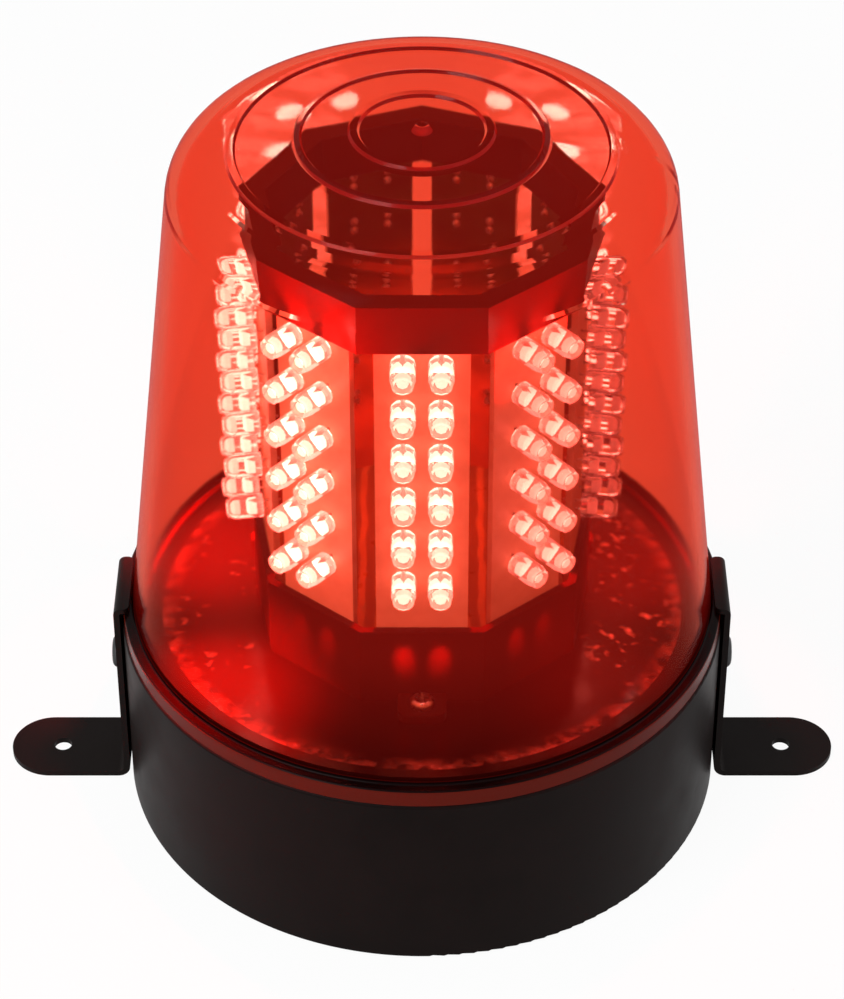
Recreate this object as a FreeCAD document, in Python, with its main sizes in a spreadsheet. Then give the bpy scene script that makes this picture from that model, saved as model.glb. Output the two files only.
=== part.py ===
import FreeCAD, Part
import math
import os

import Sketcher

# LED beacon: a red lens on a round black base, clamped by two hooked brackets, over a nine-sided
# tower of LED boards. Millimetres. The origin is the centre of the underside, +Z is up and -Y is
# the front, which the first LED board faces. The two brackets stand on the X axis.

SIZES = {
    # Base housing and its bottom cover
    "base_radius": 75.0,
    "base_height": 50.0,
    "base_wall": 2.6,
    "base_edge_round": 0.8,
    "deck_step": 3.0,
    "deck_thickness": 2.6,
    "deck_cable_hole_radius": 10.0,
    "cover_thickness": 2.2,
    "cover_ledge": 1.0,
    "cover_screw_circle_radius": 64.0,
    "cover_screw_count": 4,
    "cover_boss_radius": 3.6,
    # Clearances
    "fit_gap": 0.1,
    "easy_gap": 0.3,
    # Small self-tapping screws
    "screw_shank_radius": 1.45,
    "screw_pilot_gap": 0.05,
    "screw_length": 10.0,
    "screw_head_radius": 2.8,
    "screw_head_height": 2.0,
    "screw_head_round": 1.2,
    "screw_passage_radius": 1.75,
    "cross_reach": 1.7,
    "cross_width": 0.7,
    "cross_depth": 1.0,
    "bracket_screw_cross_reach": 2.4,
    # Lens cover and its gasket
    "lens_wall": 2.5,
    "lens_flange_inset": 0.4,
    "lens_flange_lip": 2.4,
    "lens_flange_thickness": 4.4,
    "lens_flange_round": 0.7,
    "lens_foot_round": 0.5,
    "lens_taper": 14.4,
    "lens_shoulder_rise": 131.5,
    "lens_shoulder_round": 11.7,
    # Radii on the crown as shares of the shoulder's radius
    "outer_rib_outside_share": 0.777,
    "outer_rib_inside_share": 0.732,
    "middle_rib_outside_share": 0.511,
    "middle_rib_inside_share": 0.471,
    "inner_rib_outside_share": 0.292,
    "inner_rib_inside_share": 0.245,
    # Rises on the crown, from the shoulder inwards
    "outer_slope_rise": 2.3,
    "middle_slope_rise": 2.4,
    "inner_slope_rise": 1.35,
    "rib_rise": 0.4,
    "rib_flank": 0.55,
    "rib_height": 0.7,
    "nub_radius": 2.4,
    "nub_draft": 0.9,
    "nub_height": 1.65,
    "gasket_inset": 1.6,
    "gasket_width": 2.2,
    "gasket_thickness": 1.0,
    # Mounting brackets and their screws
    "bracket_thickness": 1.5,
    "bracket_width": 20.8,
    "bracket_foot_length": 29.75,
    "bracket_hole_offset": 16.65,
    "bracket_hole_radius": 2.25,
    "bracket_bend_radius": 1.6,
    "hook_bend_radius": 0.4,
    "hook_corner_round": 1.5,
    "bracket_screw_height": 33.5,
    "bracket_screw_radius": 1.95,
    "bracket_screw_length": 12.0,
    "bracket_screw_head_radius": 4.2,
    "bracket_screw_head_height": 1.9,
    "bracket_screw_head_round": 1.5,
    "bracket_boss_radius": 5.6,
    "bracket_boss_length": 8.4,
    "nut_across_flats": 7.0,
    "nut_thickness": 3.2,
    # LED tower
    "board_count": 9,
    "board_apothem": 38.0,
    "board_width": 21.5,
    "board_thickness": 1.6,
    "pedestal_height": 21.6,
    "pedestal_wall": 2.5,
    "pedestal_rim_wall": 1.9,
    "pedestal_socket_depth": 7.0,
    "pedestal_ledge_width": 4.1,
    "pedestal_ledge_thickness": 3.0,
    "lug_count": 3,
    "lug_width": 11.6,
    "lug_length": 8.5,
    "lug_thickness": 2.5,
    "lug_round": 3.0,
    "lug_hole_offset": 4.0,
    "lug_boss_radius": 3.2,
    "lug_boss_length": 8.0,
    "ring_height": 11.8,
    "ring_web": 2.3,
    "ring_wall": 1.9,
    # LEDs
    "led_columns": 2,
    "led_rows": 6,
    "led_column_pitch": 8.5,
    "led_row_pitch": 12.45,
    "led_first_row": 22.7,
    "led_top_margin": 12.65,
    "led_standoff": 1.6,
    "led_length": 8.7,
    "led_body_radius": 2.5,
    "led_flange_lip": 0.4,
    "led_flange_thickness": 1.0,
    "led_dome_round": 2.4,
    "led_lead_radius": 0.3,
    "led_lead_pitch": 2.54,
    "led_lead_tail": 1.2,
    # Control board and what stands on it
    "standoff_length": 14.0,
    "standoff_radius": 3.0,
    "control_board_length": 76.0,
    "control_board_width": 52.0,
    "control_board_round": 3.0,
    "control_hole_pitch_x": 60.0,
    "control_hole_pitch_y": 40.0,
    "terminal_length": 10.2,
    "terminal_width": 8.0,
    "terminal_height": 10.0,
    "terminal_chamfer": 2.0,
    "terminal_rear_y": 24.0,
    "terminal_wire_pitch": 5.0,
    "terminal_wire_drop": 5.0,
    "terminal_wire_depth": 4.0,
    "capacitor_radius": 5.0,
    "capacitor_height": 16.0,
    "capacitor_rim_round": 0.8,
    "capacitor_groove_drop": 2.2,
    "capacitor_groove_depth": 0.5,
    "capacitor_x": -24.0,
    "capacitor_y": 14.0,
    "regulator_x": 24.0,
    "regulator_y": 14.0,
    "regulator_width": 10.0,
    "regulator_body_height": 9.2,
    "regulator_body_thickness": 4.4,
    "regulator_tab_height": 15.6,
    "regulator_tab_thickness": 1.3,
    "regulator_hole_radius": 1.8,
    "chip_count": 3,
    "chip_length": 22.9,
    "chip_width": 6.4,
    "chip_height": 3.4,
    "chip_pitch": 25.0,
    "chip_row_y": -12.0,
    "chip_notch_radius": 1.2,
    "chip_notch_depth": 0.8,
    # Ribbon cable and its connectors
    "ribbon_width": 12.7,
    "ribbon_thickness": 0.9,
    "ribbon_shift": 8.0,
    "ribbon_lead": 4.2,
    "ribbon_bend_radius": 3.0,
    "header_length": 17.0,
    "header_width": 7.0,
    "header_height": 6.0,
    "header_wall": 1.0,
    "plug_height": 7.0,
    # Power socket, nut and leads
    "socket_height": 22.0,
    "socket_seat_inset": 6.0,
    "socket_recess_radius": 7.5,
    "socket_panel_thickness": 3.2,
    "socket_boss_radius": 9.6,
    "socket_flange_radius": 6.0,
    "socket_flange_thickness": 1.4,
    "socket_barrel_radius": 3.95,
    "socket_barrel_length": 13.0,
    "socket_bore_radius": 3.0,
    "socket_bore_depth": 9.4,
    "socket_pin_radius": 1.05,
    "socket_pin_length": 8.6,
    "socket_pin_round": 0.5,
    "socket_lug_length": 5.0,
    "socket_lug_width": 2.2,
    "socket_lug_thickness": 0.6,
    "socket_nut_across_flats": 11.0,
    "socket_nut_thickness": 2.4,
    "lead_radius": 0.8,
    "lead_straight": 9.0,
    "lead_bend_radius": 6.0,
}

# Points closer than this are taken as one
TOUCH = 1e-6


class Size:
    """A number together with the sheet expression that gives it."""

    def __init__(self, value, text):
        self.value = value
        self.text = text

    def __add__(self, other):
        other = as_size(other)
        return Size(self.value + other.value, f"({self.text} + {other.text})")

    def __sub__(self, other):
        other = as_size(other)
        return Size(self.value - other.value, f"({self.text} - {other.text})")

    def __mul__(self, other):
        other = as_size(other)
        return Size(self.value * other.value, f"({self.text} * {other.text})")

    def __truediv__(self, other):
        other = as_size(other)
        return Size(self.value / other.value, f"({self.text} / {other.text})")

    def __neg__(self):
        return Size(-self.value, f"(-{self.text})")

    __radd__ = __add__
    __rmul__ = __mul__


def as_size(number):
    """A plain number as a Size, and a Size as it is."""
    if isinstance(number, Size):
        return number
    return Size(float(number), repr(float(number)))


class SizeSheet:
    """The spreadsheet of driving dimensions, read by name as Size values."""

    def __init__(self, doc):
        sheet = doc.addObject("Spreadsheet::Sheet", "Sizes")
        for row, (alias, number) in enumerate(SIZES.items(), start=1):
            sheet.set(f"A{row}", alias)
            sheet.set(f"B{row}", str(number))
            sheet.setAlias(f"B{row}", alias)
        doc.recompute()

    def __getattr__(self, alias):
        return Size(float(SIZES[alias]), f"Sizes.{alias}")


class Drawing:
    """A sketch on one of a body's own planes, with its dimensions tied to the sheet."""

    def __init__(self, body, name, plane, lift=0, shift=(0, 0)):
        self.sketch = body.newObject("Sketcher::SketchObject", name)
        self.sketch.AttachmentSupport = [(origin_feature(body, plane), "")]
        self.sketch.MapMode = "FlatFace"
        for axis, offset in zip("xyz", (*shift, lift)):
            self.sketch.setExpression(f"AttachmentOffset.Base.{axis}", as_size(offset).text)

    def dimension(self, kind, targets, size):
        constraint = Sketcher.Constraint(kind, *targets, size.value)
        index = self.sketch.addConstraint(constraint)
        self.sketch.setExpression(f"Constraints[{index}]", size.text)

    def locate(self, geometry, position, x, y):
        """Fix one point of a piece of geometry at x, y from the sketch's origin."""
        for kind, across, coordinate in (("DistanceX", -2, x), ("DistanceY", -1, y)):
            if coordinate.value == 0:
                on_axis = Sketcher.Constraint("PointOnObject", geometry, position, across)
                self.sketch.addConstraint(on_axis)
            elif coordinate.value > 0:
                self.dimension(kind, (-1, 1, geometry, position), coordinate)
            else:
                self.dimension(kind, (geometry, position, -1, 1), -coordinate)

    def circle(self, x, y, radius):
        x, y, radius = as_size(x), as_size(y), as_size(radius)
        centre = FreeCAD.Vector(x.value, y.value, 0)
        shape = Part.Circle(centre, FreeCAD.Vector(0, 0, 1), radius.value)
        geometry = self.sketch.addGeometry(shape, False)
        self.locate(geometry, 3, x, y)
        self.dimension("Radius", (geometry,), radius)

    def rectangle(self, left, right, low, high):
        self.outline([(left, low), (right, low), (right, high), (left, high)])

    def outline(self, corners, closed=True):
        """Straight lines through the corners; a third value rounds its corner with a tangent arc."""
        corners = [tuple(as_size(number) for number in corner) for corner in corners]
        points = [FreeCAD.Vector(corner[0].value, corner[1].value, 0) for corner in corners]
        count = len(corners)
        entries = list(points)
        exits = list(points)
        middles = list(points)
        for index, corner in enumerate(corners):
            if len(corner) == 3:
                before = points[index - 1]
                after = points[(index + 1) % count]
                entries[index], middles[index], exits[index] = tangent_arc(
                    before, points[index], after, corner[2].value
                )
        runs = count if closed else count - 1
        lines = [
            self.sketch.addGeometry(Part.LineSegment(exits[run], entries[(run + 1) % count]), False)
            for run in range(runs)
        ]
        for index, corner in enumerate(corners):
            if not closed and index in (0, count - 1):
                end = 1 if index == 0 else 2
                self.locate(lines[0 if index == 0 else -1], end, corner[0], corner[1])
                continue
            incoming = lines[index - 1]
            outgoing = lines[index]
            if len(corner) == 2:
                joint = Sketcher.Constraint("Coincident", incoming, 2, outgoing, 1)
                self.sketch.addConstraint(joint)
                self.locate(outgoing, 1, corner[0], corner[1])
            else:
                arc = Part.Arc(entries[index], middles[index], exits[index])
                self.round_corner(incoming, outgoing, points[index], arc, corner)

    def round_corner(self, incoming, outgoing, point, arc, corner):
        """Tie an arc to its two lines and to the sharp corner that it replaces."""
        x, y, radius = corner
        bend = self.sketch.addGeometry(arc, False)
        gap = self.sketch.getPoint(bend, 1) - self.sketch.getPoint(incoming, 2)
        first = 1 if gap.Length < TOUCH else 2
        sharp = self.sketch.addGeometry(Part.Point(point), True)
        self.sketch.addConstraint(
            [
                Sketcher.Constraint("Tangent", incoming, 2, bend, first),
                Sketcher.Constraint("Tangent", outgoing, 1, bend, 3 - first),
                Sketcher.Constraint("PointOnObject", sharp, 1, incoming),
                Sketcher.Constraint("PointOnObject", sharp, 1, outgoing),
            ]
        )
        self.dimension("Radius", (bend,), radius)
        self.locate(sharp, 1, x, y)

    def polygon(self, sides, apothem):
        """A regular polygon with one flat side at -Y."""
        reach = apothem / cos_degrees(180.0 / sides)
        turns = [math.radians(360.0 * (side + 0.5) / sides) for side in range(sides)]
        self.outline([(reach * math.sin(turn), reach * -math.cos(turn)) for turn in turns])


def tangent_arc(before, corner, after, radius):
    """Start, middle and end of the arc that rounds a corner between two straight lines."""
    back = (before - corner).normalize()
    ahead = (after - corner).normalize()
    half = back.getAngle(ahead) / 2
    setback = radius / math.tan(half)
    inward = (back + ahead).normalize()
    middle = corner + inward * (radius / math.sin(half) - radius)
    return corner + back * setback, middle, corner + ahead * setback


def cos_degrees(angle):
    return Size(math.cos(math.radians(angle)), f"cos({angle!r})")


def origin_feature(body, role):
    for feature in body.Origin.OriginFeatures:
        if feature.Role == role:
            return feature
    raise ValueError(f"{body.Label} has no {role}")


def new_body(doc, label, turn=0, at=(0, 0, 0)):
    """An empty body with its label, turned about Z and moved to a place given by sizes."""
    body = doc.addObject("PartDesign::Body", label)
    body.Label = label
    upright = FreeCAD.Vector(0, 0, 1)
    body.Placement = FreeCAD.Placement(FreeCAD.Vector(), FreeCAD.Rotation(upright, turn))
    for axis, offset in zip("xyz", at):
        body.setExpression(f"Placement.Base.{axis}", as_size(offset).text)
    return body


def pad(body, name, drawing, length, reverse=False, symmetric=False):
    feature = body.newObject("PartDesign::Pad", name)
    return extrude(feature, drawing, length, reverse, symmetric)


def pocket(body, name, drawing, length, reverse=False, symmetric=False):
    feature = body.newObject("PartDesign::Pocket", name)
    return extrude(feature, drawing, length, reverse, symmetric)


def extrude(feature, drawing, length, reverse, symmetric):
    feature.Profile = drawing.sketch
    feature.Reversed = reverse
    if symmetric:
        feature.SideType = "Symmetric"
    feature.setExpression("Length", as_size(length).text)
    return feature


def revolve(body, name, drawing):
    """Turn a half section about the sketch's vertical axis."""
    feature = body.newObject("PartDesign::Revolution", name)
    feature.Profile = drawing.sketch
    feature.ReferenceAxis = (drawing.sketch, ["V_Axis"])
    feature.Angle = 360
    return feature


def repeat_round(body, name, originals, count):
    """Repeat features evenly about the vertical axis."""
    pattern = body.newObject("PartDesign::PolarPattern", name)
    pattern.Originals = originals
    pattern.Axis = (origin_feature(body, "Z_Axis"), [""])
    pattern.Angle = 360
    pattern.setExpression("Occurrences", as_size(count).text)
    body.Tip = pattern


def repeat_grid(body, name, originals, first, second):
    """Repeat features on a grid; each direction is an axis, a count and a pitch."""
    pattern = body.newObject("PartDesign::LinearPattern", name)
    pattern.Originals = originals
    for suffix, (axis, count, pitch) in (("", first), ("2", second)):
        setattr(pattern, f"Direction{suffix}", (origin_feature(body, axis), [""]))
        pattern.setExpression(f"Occurrences{suffix}", count.text)
        pattern.setExpression(f"Length{suffix}", (pitch * (count - 1)).text)
    body.Tip = pattern


def hexagon(drawing, across_flats, x=0, y=0):
    """A hexagon round x, y with two sides square to the sketch's horizontal axis."""
    reach = across_flats / 2 / cos_degrees(30.0)
    turns = [math.radians(60.0 * side + 30.0) for side in range(6)]
    drawing.outline([(reach * math.cos(turn) + x, reach * math.sin(turn) + y) for turn in turns])


def cross(drawing, reach, width):
    """A plus sign round the sketch's origin, for the recess of a screw head."""
    half = width / 2
    arm = [(reach, -half), (reach, half), (half, half)]
    corners = []
    for _ in range(4):
        corners += arm
        arm = [(-y, x) for x, y in arm]
    drawing.outline(corners)


def pan_screw(body, s, head, shank, seat=0, x=0, y=0, rise=1):
    """A pan-head screw with a cross recess; rise is +1 for head up and -1 for head down."""
    head_radius, head_height, head_round, cross_reach = head
    shank_radius, length = shank
    face = head_height * rise
    section = Drawing(body, "ScrewSection", "XZ_Plane", lift=-as_size(y), shift=(x, seat))
    section.outline(
        [
            (0, length * -rise),
            (shank_radius, length * -rise),
            (shank_radius, 0),
            (head_radius, 0),
            (head_radius, face, head_round),
            (0, face),
        ]
    )
    screw = revolve(body, "Screw", section)
    plan = Drawing(body, "CrossPlan", "XY_Plane", lift=face + seat, shift=(x, y))
    cross(plan, cross_reach, s.cross_width)
    recess = pocket(body, "Cross", plan, s.cross_depth, reverse=rise < 0)
    return [screw, recess]


def small_screw(body, s, seat, x, y, rise):
    """One of the small self-tapping screws."""
    head = (s.screw_head_radius, s.screw_head_height, s.screw_head_round, s.cross_reach)
    return pan_screw(body, s, head, (s.screw_shank_radius, s.screw_length), seat, x, y, rise)


class Levels:
    """Heights and radii that several pieces share, worked out from the driving dimensions."""

    def __init__(self, s):
        self.wall_inner = s.base_radius - s.base_wall
        self.cover_radius = self.wall_inner + s.cover_ledge - s.fit_gap
        self.deck_top = s.base_height + s.deck_step
        self.deck_under = self.deck_top - s.deck_thickness
        self.lens_flange = s.base_radius - s.lens_flange_inset
        self.lens_foot = self.lens_flange - s.lens_flange_lip
        self.lens_shoulder = self.lens_foot - s.lens_taper
        self.lens_inner = self.lens_foot - s.lens_wall
        self.flange_top = s.base_height + s.lens_flange_thickness
        self.gasket_outer = s.base_radius - s.gasket_inset
        self.gasket_inner = self.gasket_outer - s.gasket_width
        self.pilot_radius = s.screw_shank_radius + s.screw_pilot_gap
        self.strap_inner = s.base_radius + s.screw_pilot_gap
        self.strap_outer = self.strap_inner + s.bracket_thickness
        self.nut_seat = self.wall_inner - s.bracket_boss_length + s.nut_thickness
        self.bolt_passage = s.bracket_screw_radius + s.fit_gap
        self.pedestal_top = self.deck_top + s.pedestal_height
        self.collector_top = self.pedestal_top - s.pedestal_socket_depth
        self.collector_under = self.collector_top - s.board_thickness
        self.board_front = s.board_apothem + s.fit_gap
        self.board_back = s.board_apothem - s.board_thickness
        self.led_row = self.collector_top + s.led_first_row
        self.board_top = self.led_row + s.led_row_pitch * (s.led_rows - 1) + s.led_top_margin
        self.pedestal_side = self.board_front + s.pedestal_rim_wall
        self.lug_hole = self.pedestal_side + s.lug_hole_offset
        self.control_top = self.deck_under - s.standoff_length
        self.control_under = self.control_top - s.board_thickness
        self.socket_seat = s.base_radius - s.socket_seat_inset
        self.socket_panel = self.socket_seat - s.socket_panel_thickness
        self.plug_reach = s.header_wall + s.plug_height


def base_housing(doc, s, at):
    """Round can with a stepped deck that centres the lens, open below, with its inner bosses."""
    body = new_body(doc, "base_housing")
    spigot = at.lens_inner - s.easy_gap
    step_inner = spigot - s.base_wall
    rim_under = s.base_height - s.base_wall
    groove_floor = s.base_height - s.gasket_thickness
    rebate = at.wall_inner + s.cover_ledge
    section = Drawing(body, "HousingSection", "XZ_Plane")
    section.outline(
        [
            (s.deck_cable_hole_radius, at.deck_under),
            (step_inner, at.deck_under),
            (step_inner, rim_under),
            (at.wall_inner, rim_under),
            (at.wall_inner, s.cover_thickness),
            (rebate, s.cover_thickness),
            (rebate, 0),
            (s.base_radius, 0, s.base_edge_round),
            (s.base_radius, s.base_height, s.base_edge_round),
            (at.gasket_outer, s.base_height),
            (at.gasket_outer, groove_floor),
            (at.gasket_inner, groove_floor),
            (at.gasket_inner, s.base_height),
            (spigot, s.base_height),
            (spigot, at.deck_top, s.base_edge_round),
            (s.deck_cable_hole_radius, at.deck_top),
        ]
    )
    revolve(body, "Housing", section)
    cover_bosses(body, s, at)
    control_standoffs(body, s, at)
    lug_bosses(body, s, at)
    bracket_bosses(body, s, at)
    socket_panel(body, s, at)
    return body


def cover_bosses(body, s, at):
    """Posts from the deck down to the bottom cover, bored for its screws."""
    corner = s.cover_screw_circle_radius / math.sqrt(2)
    post = Drawing(body, "CoverBossPlan", "XY_Plane", lift=s.cover_thickness)
    post.circle(corner, corner, s.cover_boss_radius)
    length = at.deck_under - s.cover_thickness + s.deck_thickness / 2
    posts = pad(body, "CoverBoss", post, length)
    bore = Drawing(body, "CoverPilotPlan", "XY_Plane", lift=s.cover_thickness)
    bore.circle(corner, corner, at.pilot_radius)
    bores = pocket(body, "CoverPilot", bore, s.screw_length + s.easy_gap, reverse=True)
    repeat_round(body, "CoverBosses", [posts, bores], s.cover_screw_count)


def control_standoffs(body, s, at):
    """Four posts under the deck that the control board is screwed up against."""
    near_x = -s.control_hole_pitch_x / 2
    near_y = -s.control_hole_pitch_y / 2
    post = Drawing(body, "StandoffPlan", "XY_Plane", lift=at.control_top)
    post.circle(near_x, near_y, s.standoff_radius)
    posts = pad(body, "Standoff", post, s.standoff_length + s.deck_thickness / 2)
    bore = Drawing(body, "StandoffPilotPlan", "XY_Plane", lift=at.control_top)
    bore.circle(near_x, near_y, at.pilot_radius)
    bores = pocket(body, "StandoffPilot", bore, s.screw_length, reverse=True)
    repeat_corners(body, "Standoffs", [posts, bores], s)


def repeat_corners(body, name, originals, s):
    """Repeat features at the four screw holes of the control board."""
    pair = as_size(2)
    repeat_grid(
        body,
        name,
        originals,
        ("X_Axis", pair, s.control_hole_pitch_x),
        ("Y_Axis", pair, s.control_hole_pitch_y),
    )


def lug_bosses(body, s, at):
    """Bosses under the deck for the pedestal's screws."""
    low = at.deck_under - s.lug_boss_length
    post = Drawing(body, "LugBossPlan", "XY_Plane", lift=low)
    post.circle(0, -at.lug_hole, s.lug_boss_radius)
    posts = pad(body, "LugBoss", post, s.lug_boss_length + s.deck_thickness / 2)
    bore = Drawing(body, "LugPilotPlan", "XY_Plane", lift=at.deck_top)
    bore.circle(0, -at.lug_hole, at.pilot_radius)
    bores = pocket(body, "LugPilot", bore, s.screw_length)
    repeat_round(body, "LugBosses", [posts, bores], s.lug_count)


def bracket_bosses(body, s, at):
    """Bosses on the inside of the wall, each with a screw passage and a nut pocket."""
    inner = at.wall_inner - s.bracket_boss_length
    post = Drawing(body, "BracketBossPlan", "YZ_Plane", lift=inner)
    post.circle(0, s.bracket_screw_height, s.bracket_boss_radius)
    posts = pad(body, "BracketBoss", post, s.bracket_boss_length + s.base_wall / 2)
    bore = Drawing(body, "BracketPassagePlan", "YZ_Plane", lift=inner)
    bore.circle(0, s.bracket_screw_height, at.bolt_passage)
    through = s.bracket_boss_length + s.base_wall * 2
    bores = pocket(body, "BracketPassage", bore, through, reverse=True)
    seat = Drawing(body, "NutPocketPlan", "YZ_Plane", lift=inner)
    hexagon(seat, s.nut_across_flats + s.fit_gap * 2, y=s.bracket_screw_height)
    seats = pocket(body, "NutPocket", seat, s.nut_thickness, reverse=True)
    repeat_round(body, "BracketBosses", [posts, bores, seats], 2)


def socket_panel(body, s, at):
    """Round well in the rear wall, with the power socket's seat at its foot."""
    boss = Drawing(body, "SocketBossPlan", "XZ_Plane", lift=-at.socket_panel)
    boss.circle(0, s.socket_height, s.socket_boss_radius)
    depth = s.socket_panel_thickness + s.socket_seat_inset - s.base_wall / 2
    pad(body, "SocketBoss", boss, depth, reverse=True)
    recess = Drawing(body, "SocketRecessPlan", "XZ_Plane", lift=-at.socket_seat)
    recess.circle(0, s.socket_height, s.socket_recess_radius)
    pocket(body, "SocketRecess", recess, s.socket_seat_inset * 2)
    bore = Drawing(body, "SocketPassagePlan", "XZ_Plane", lift=-at.socket_panel)
    bore.circle(0, s.socket_height, s.socket_barrel_radius + s.fit_gap)
    pocket(body, "SocketPassage", bore, s.socket_panel_thickness * 2)


def bottom_cover(doc, s, at):
    """Flat disc in the housing's rebate, countersunk for its screws."""
    body = new_body(doc, "bottom_cover")
    disc = Drawing(body, "CoverPlan", "XY_Plane")
    disc.circle(0, 0, at.cover_radius)
    pad(body, "Cover", disc, s.cover_thickness)
    corner = s.cover_screw_circle_radius / math.sqrt(2)
    sink = Drawing(body, "CountersinkSection", "XZ_Plane", lift=-corner, shift=(corner, 0))
    wide = s.screw_head_radius + s.fit_gap + s.screw_pilot_gap
    sink.outline(
        [
            (0, 0),
            (wide, 0),
            (s.screw_passage_radius, wide - s.screw_passage_radius),
            (s.screw_passage_radius, s.cover_thickness),
            (0, s.cover_thickness),
        ]
    )
    hole = body.newObject("PartDesign::Groove", "Countersink")
    hole.Profile = sink.sketch
    hole.ReferenceAxis = (sink.sketch, ["V_Axis"])
    hole.Angle = 360
    repeat_round(body, "Countersinks", [hole], s.cover_screw_count)
    return body


def cover_screws(doc, s, at):
    """Countersunk screws that hold the bottom cover."""
    body = new_body(doc, "cover_screws")
    corner = s.cover_screw_circle_radius / math.sqrt(2)
    section = Drawing(body, "ScrewSection", "XZ_Plane", lift=-corner, shift=(corner, 0))
    neck = s.screw_head_radius - s.screw_shank_radius + s.fit_gap
    section.outline(
        [
            (0, s.fit_gap),
            (s.screw_head_radius, s.fit_gap),
            (s.screw_shank_radius, neck),
            (s.screw_shank_radius, s.cover_thickness + s.screw_length),
            (0, s.cover_thickness + s.screw_length),
        ]
    )
    screw = revolve(body, "Screw", section)
    plan = Drawing(body, "CrossPlan", "XY_Plane", lift=s.fit_gap, shift=(corner, corner))
    cross(plan, s.cross_reach, s.cross_width)
    recess = pocket(body, "Cross", plan, s.cross_depth, reverse=True)
    repeat_round(body, "Screws", [screw, recess], s.cover_screw_count)
    return body


def lens_gasket(doc, s, at):
    """Flat ring in the groove of the rim, under the lens flange."""
    body = new_body(doc, "lens_gasket")
    section = Drawing(body, "GasketSection", "XZ_Plane")
    section.rectangle(
        at.gasket_inner,
        at.gasket_outer,
        s.base_height - s.gasket_thickness,
        s.base_height,
    )
    revolve(body, "Gasket", section)
    return body


def lens_cover(doc, s, at):
    """Tapered moulding with a foot flange, a rounded shoulder and three ring ribs on its low crown."""
    body = new_body(doc, "lens_cover")
    shoulder = s.base_height + s.lens_shoulder_rise
    outer_foot = shoulder + s.outer_slope_rise
    middle_foot = outer_foot + s.rib_rise + s.middle_slope_rise
    crown = middle_foot + s.rib_rise + s.inner_slope_rise
    feet = [
        (at.lens_shoulder * s.outer_rib_outside_share, outer_foot),
        (at.lens_shoulder * s.outer_rib_inside_share, outer_foot + s.rib_rise),
        (at.lens_shoulder * s.middle_rib_outside_share, middle_foot),
        (at.lens_shoulder * s.middle_rib_inside_share, middle_foot + s.rib_rise),
        (at.lens_shoulder * s.inner_rib_outside_share, crown),
        (at.lens_shoulder * s.inner_rib_inside_share, crown),
    ]
    ribs = []
    for outside_foot, inside_foot in zip(feet[0::2], feet[1::2]):
        ribs += ring_rib(s, outside_foot, inside_foot)
    nub = [
        (s.nub_radius, crown),
        (s.nub_radius - s.nub_draft, crown + s.nub_height, s.nub_draft),
        (0, crown + s.nub_height),
    ]
    outside = [
        (at.lens_inner, s.base_height),
        (at.lens_flange, s.base_height),
        (at.lens_flange, at.flange_top, s.lens_flange_round),
        (at.lens_foot, at.flange_top, s.lens_foot_round),
        (at.lens_shoulder, shoulder, s.lens_shoulder_round),
    ]
    inner_round = s.lens_shoulder_round - s.lens_wall
    inside = [
        (0, crown - s.lens_wall),
        *[(radius, height - s.lens_wall) for radius, height in reversed(feet[:-1])],
        (at.lens_shoulder - s.lens_wall, shoulder - s.lens_wall, inner_round),
        (at.lens_inner, at.flange_top),
    ]
    section = Drawing(body, "LensSection", "XZ_Plane")
    section.outline(outside + ribs + nub + inside)
    revolve(body, "Lens", section)
    return body


def ring_rib(s, outside_foot, inside_foot):
    """Section of a ring rib that stands on the crown between two feet, with sloped flanks."""
    outer, low = outside_foot
    inner, high = inside_foot
    return [
        outside_foot,
        (outer - s.rib_flank, low + s.rib_height),
        (inner + s.rib_flank, high + s.rib_height),
        inside_foot,
    ]


def bracket(doc, s, at, label, turn):
    """Sheet-steel strap with a hook over the lens flange and a rounded foot with a screw hole."""
    body = new_body(doc, label, turn)
    hook_tip = at.lens_foot + s.lens_foot_round
    hook_top = at.flange_top + s.bracket_thickness
    outer_bend = s.bracket_bend_radius + s.bracket_thickness
    foot_tip = at.strap_outer + s.bracket_foot_length
    section = Drawing(body, "BracketSection", "XZ_Plane")
    section.outline(
        [
            (foot_tip, 0),
            (foot_tip, s.bracket_thickness),
            (at.strap_outer, s.bracket_thickness, s.bracket_bend_radius),
            (at.strap_outer, hook_top, s.hook_bend_radius + s.bracket_thickness),
            (hook_tip, hook_top),
            (hook_tip, at.flange_top),
            (at.strap_inner, at.flange_top, s.hook_bend_radius),
            (at.strap_inner, 0, outer_bend),
        ]
    )
    pad(body, "Strip", section, s.bracket_width, symmetric=True)
    tip = Drawing(body, "FootEndPlan", "XY_Plane")
    foot_end(tip, foot_tip, s.bracket_width / 2)
    pocket(body, "FootEnd", tip, s.bracket_thickness * 2, symmetric=True)
    hole = Drawing(body, "FootHolePlan", "XY_Plane")
    hole.circle(at.strap_outer + s.bracket_hole_offset, 0, s.bracket_hole_radius)
    pocket(body, "FootHole", hole, s.bracket_thickness * 2, symmetric=True)
    passage = Drawing(body, "StrapHolePlan", "YZ_Plane", lift=at.strap_outer)
    passage.circle(0, s.bracket_screw_height, at.bolt_passage)
    strap = pocket(body, "StrapHole", passage, s.bracket_thickness)
    doc.recompute()
    corners = body.newObject("PartDesign::Fillet", "HookCorners")
    corners.Base = (strap, upright_edges(strap.Shape, hook_tip.value))
    corners.setExpression("Radius", s.hook_corner_round.text)
    return body


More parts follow.
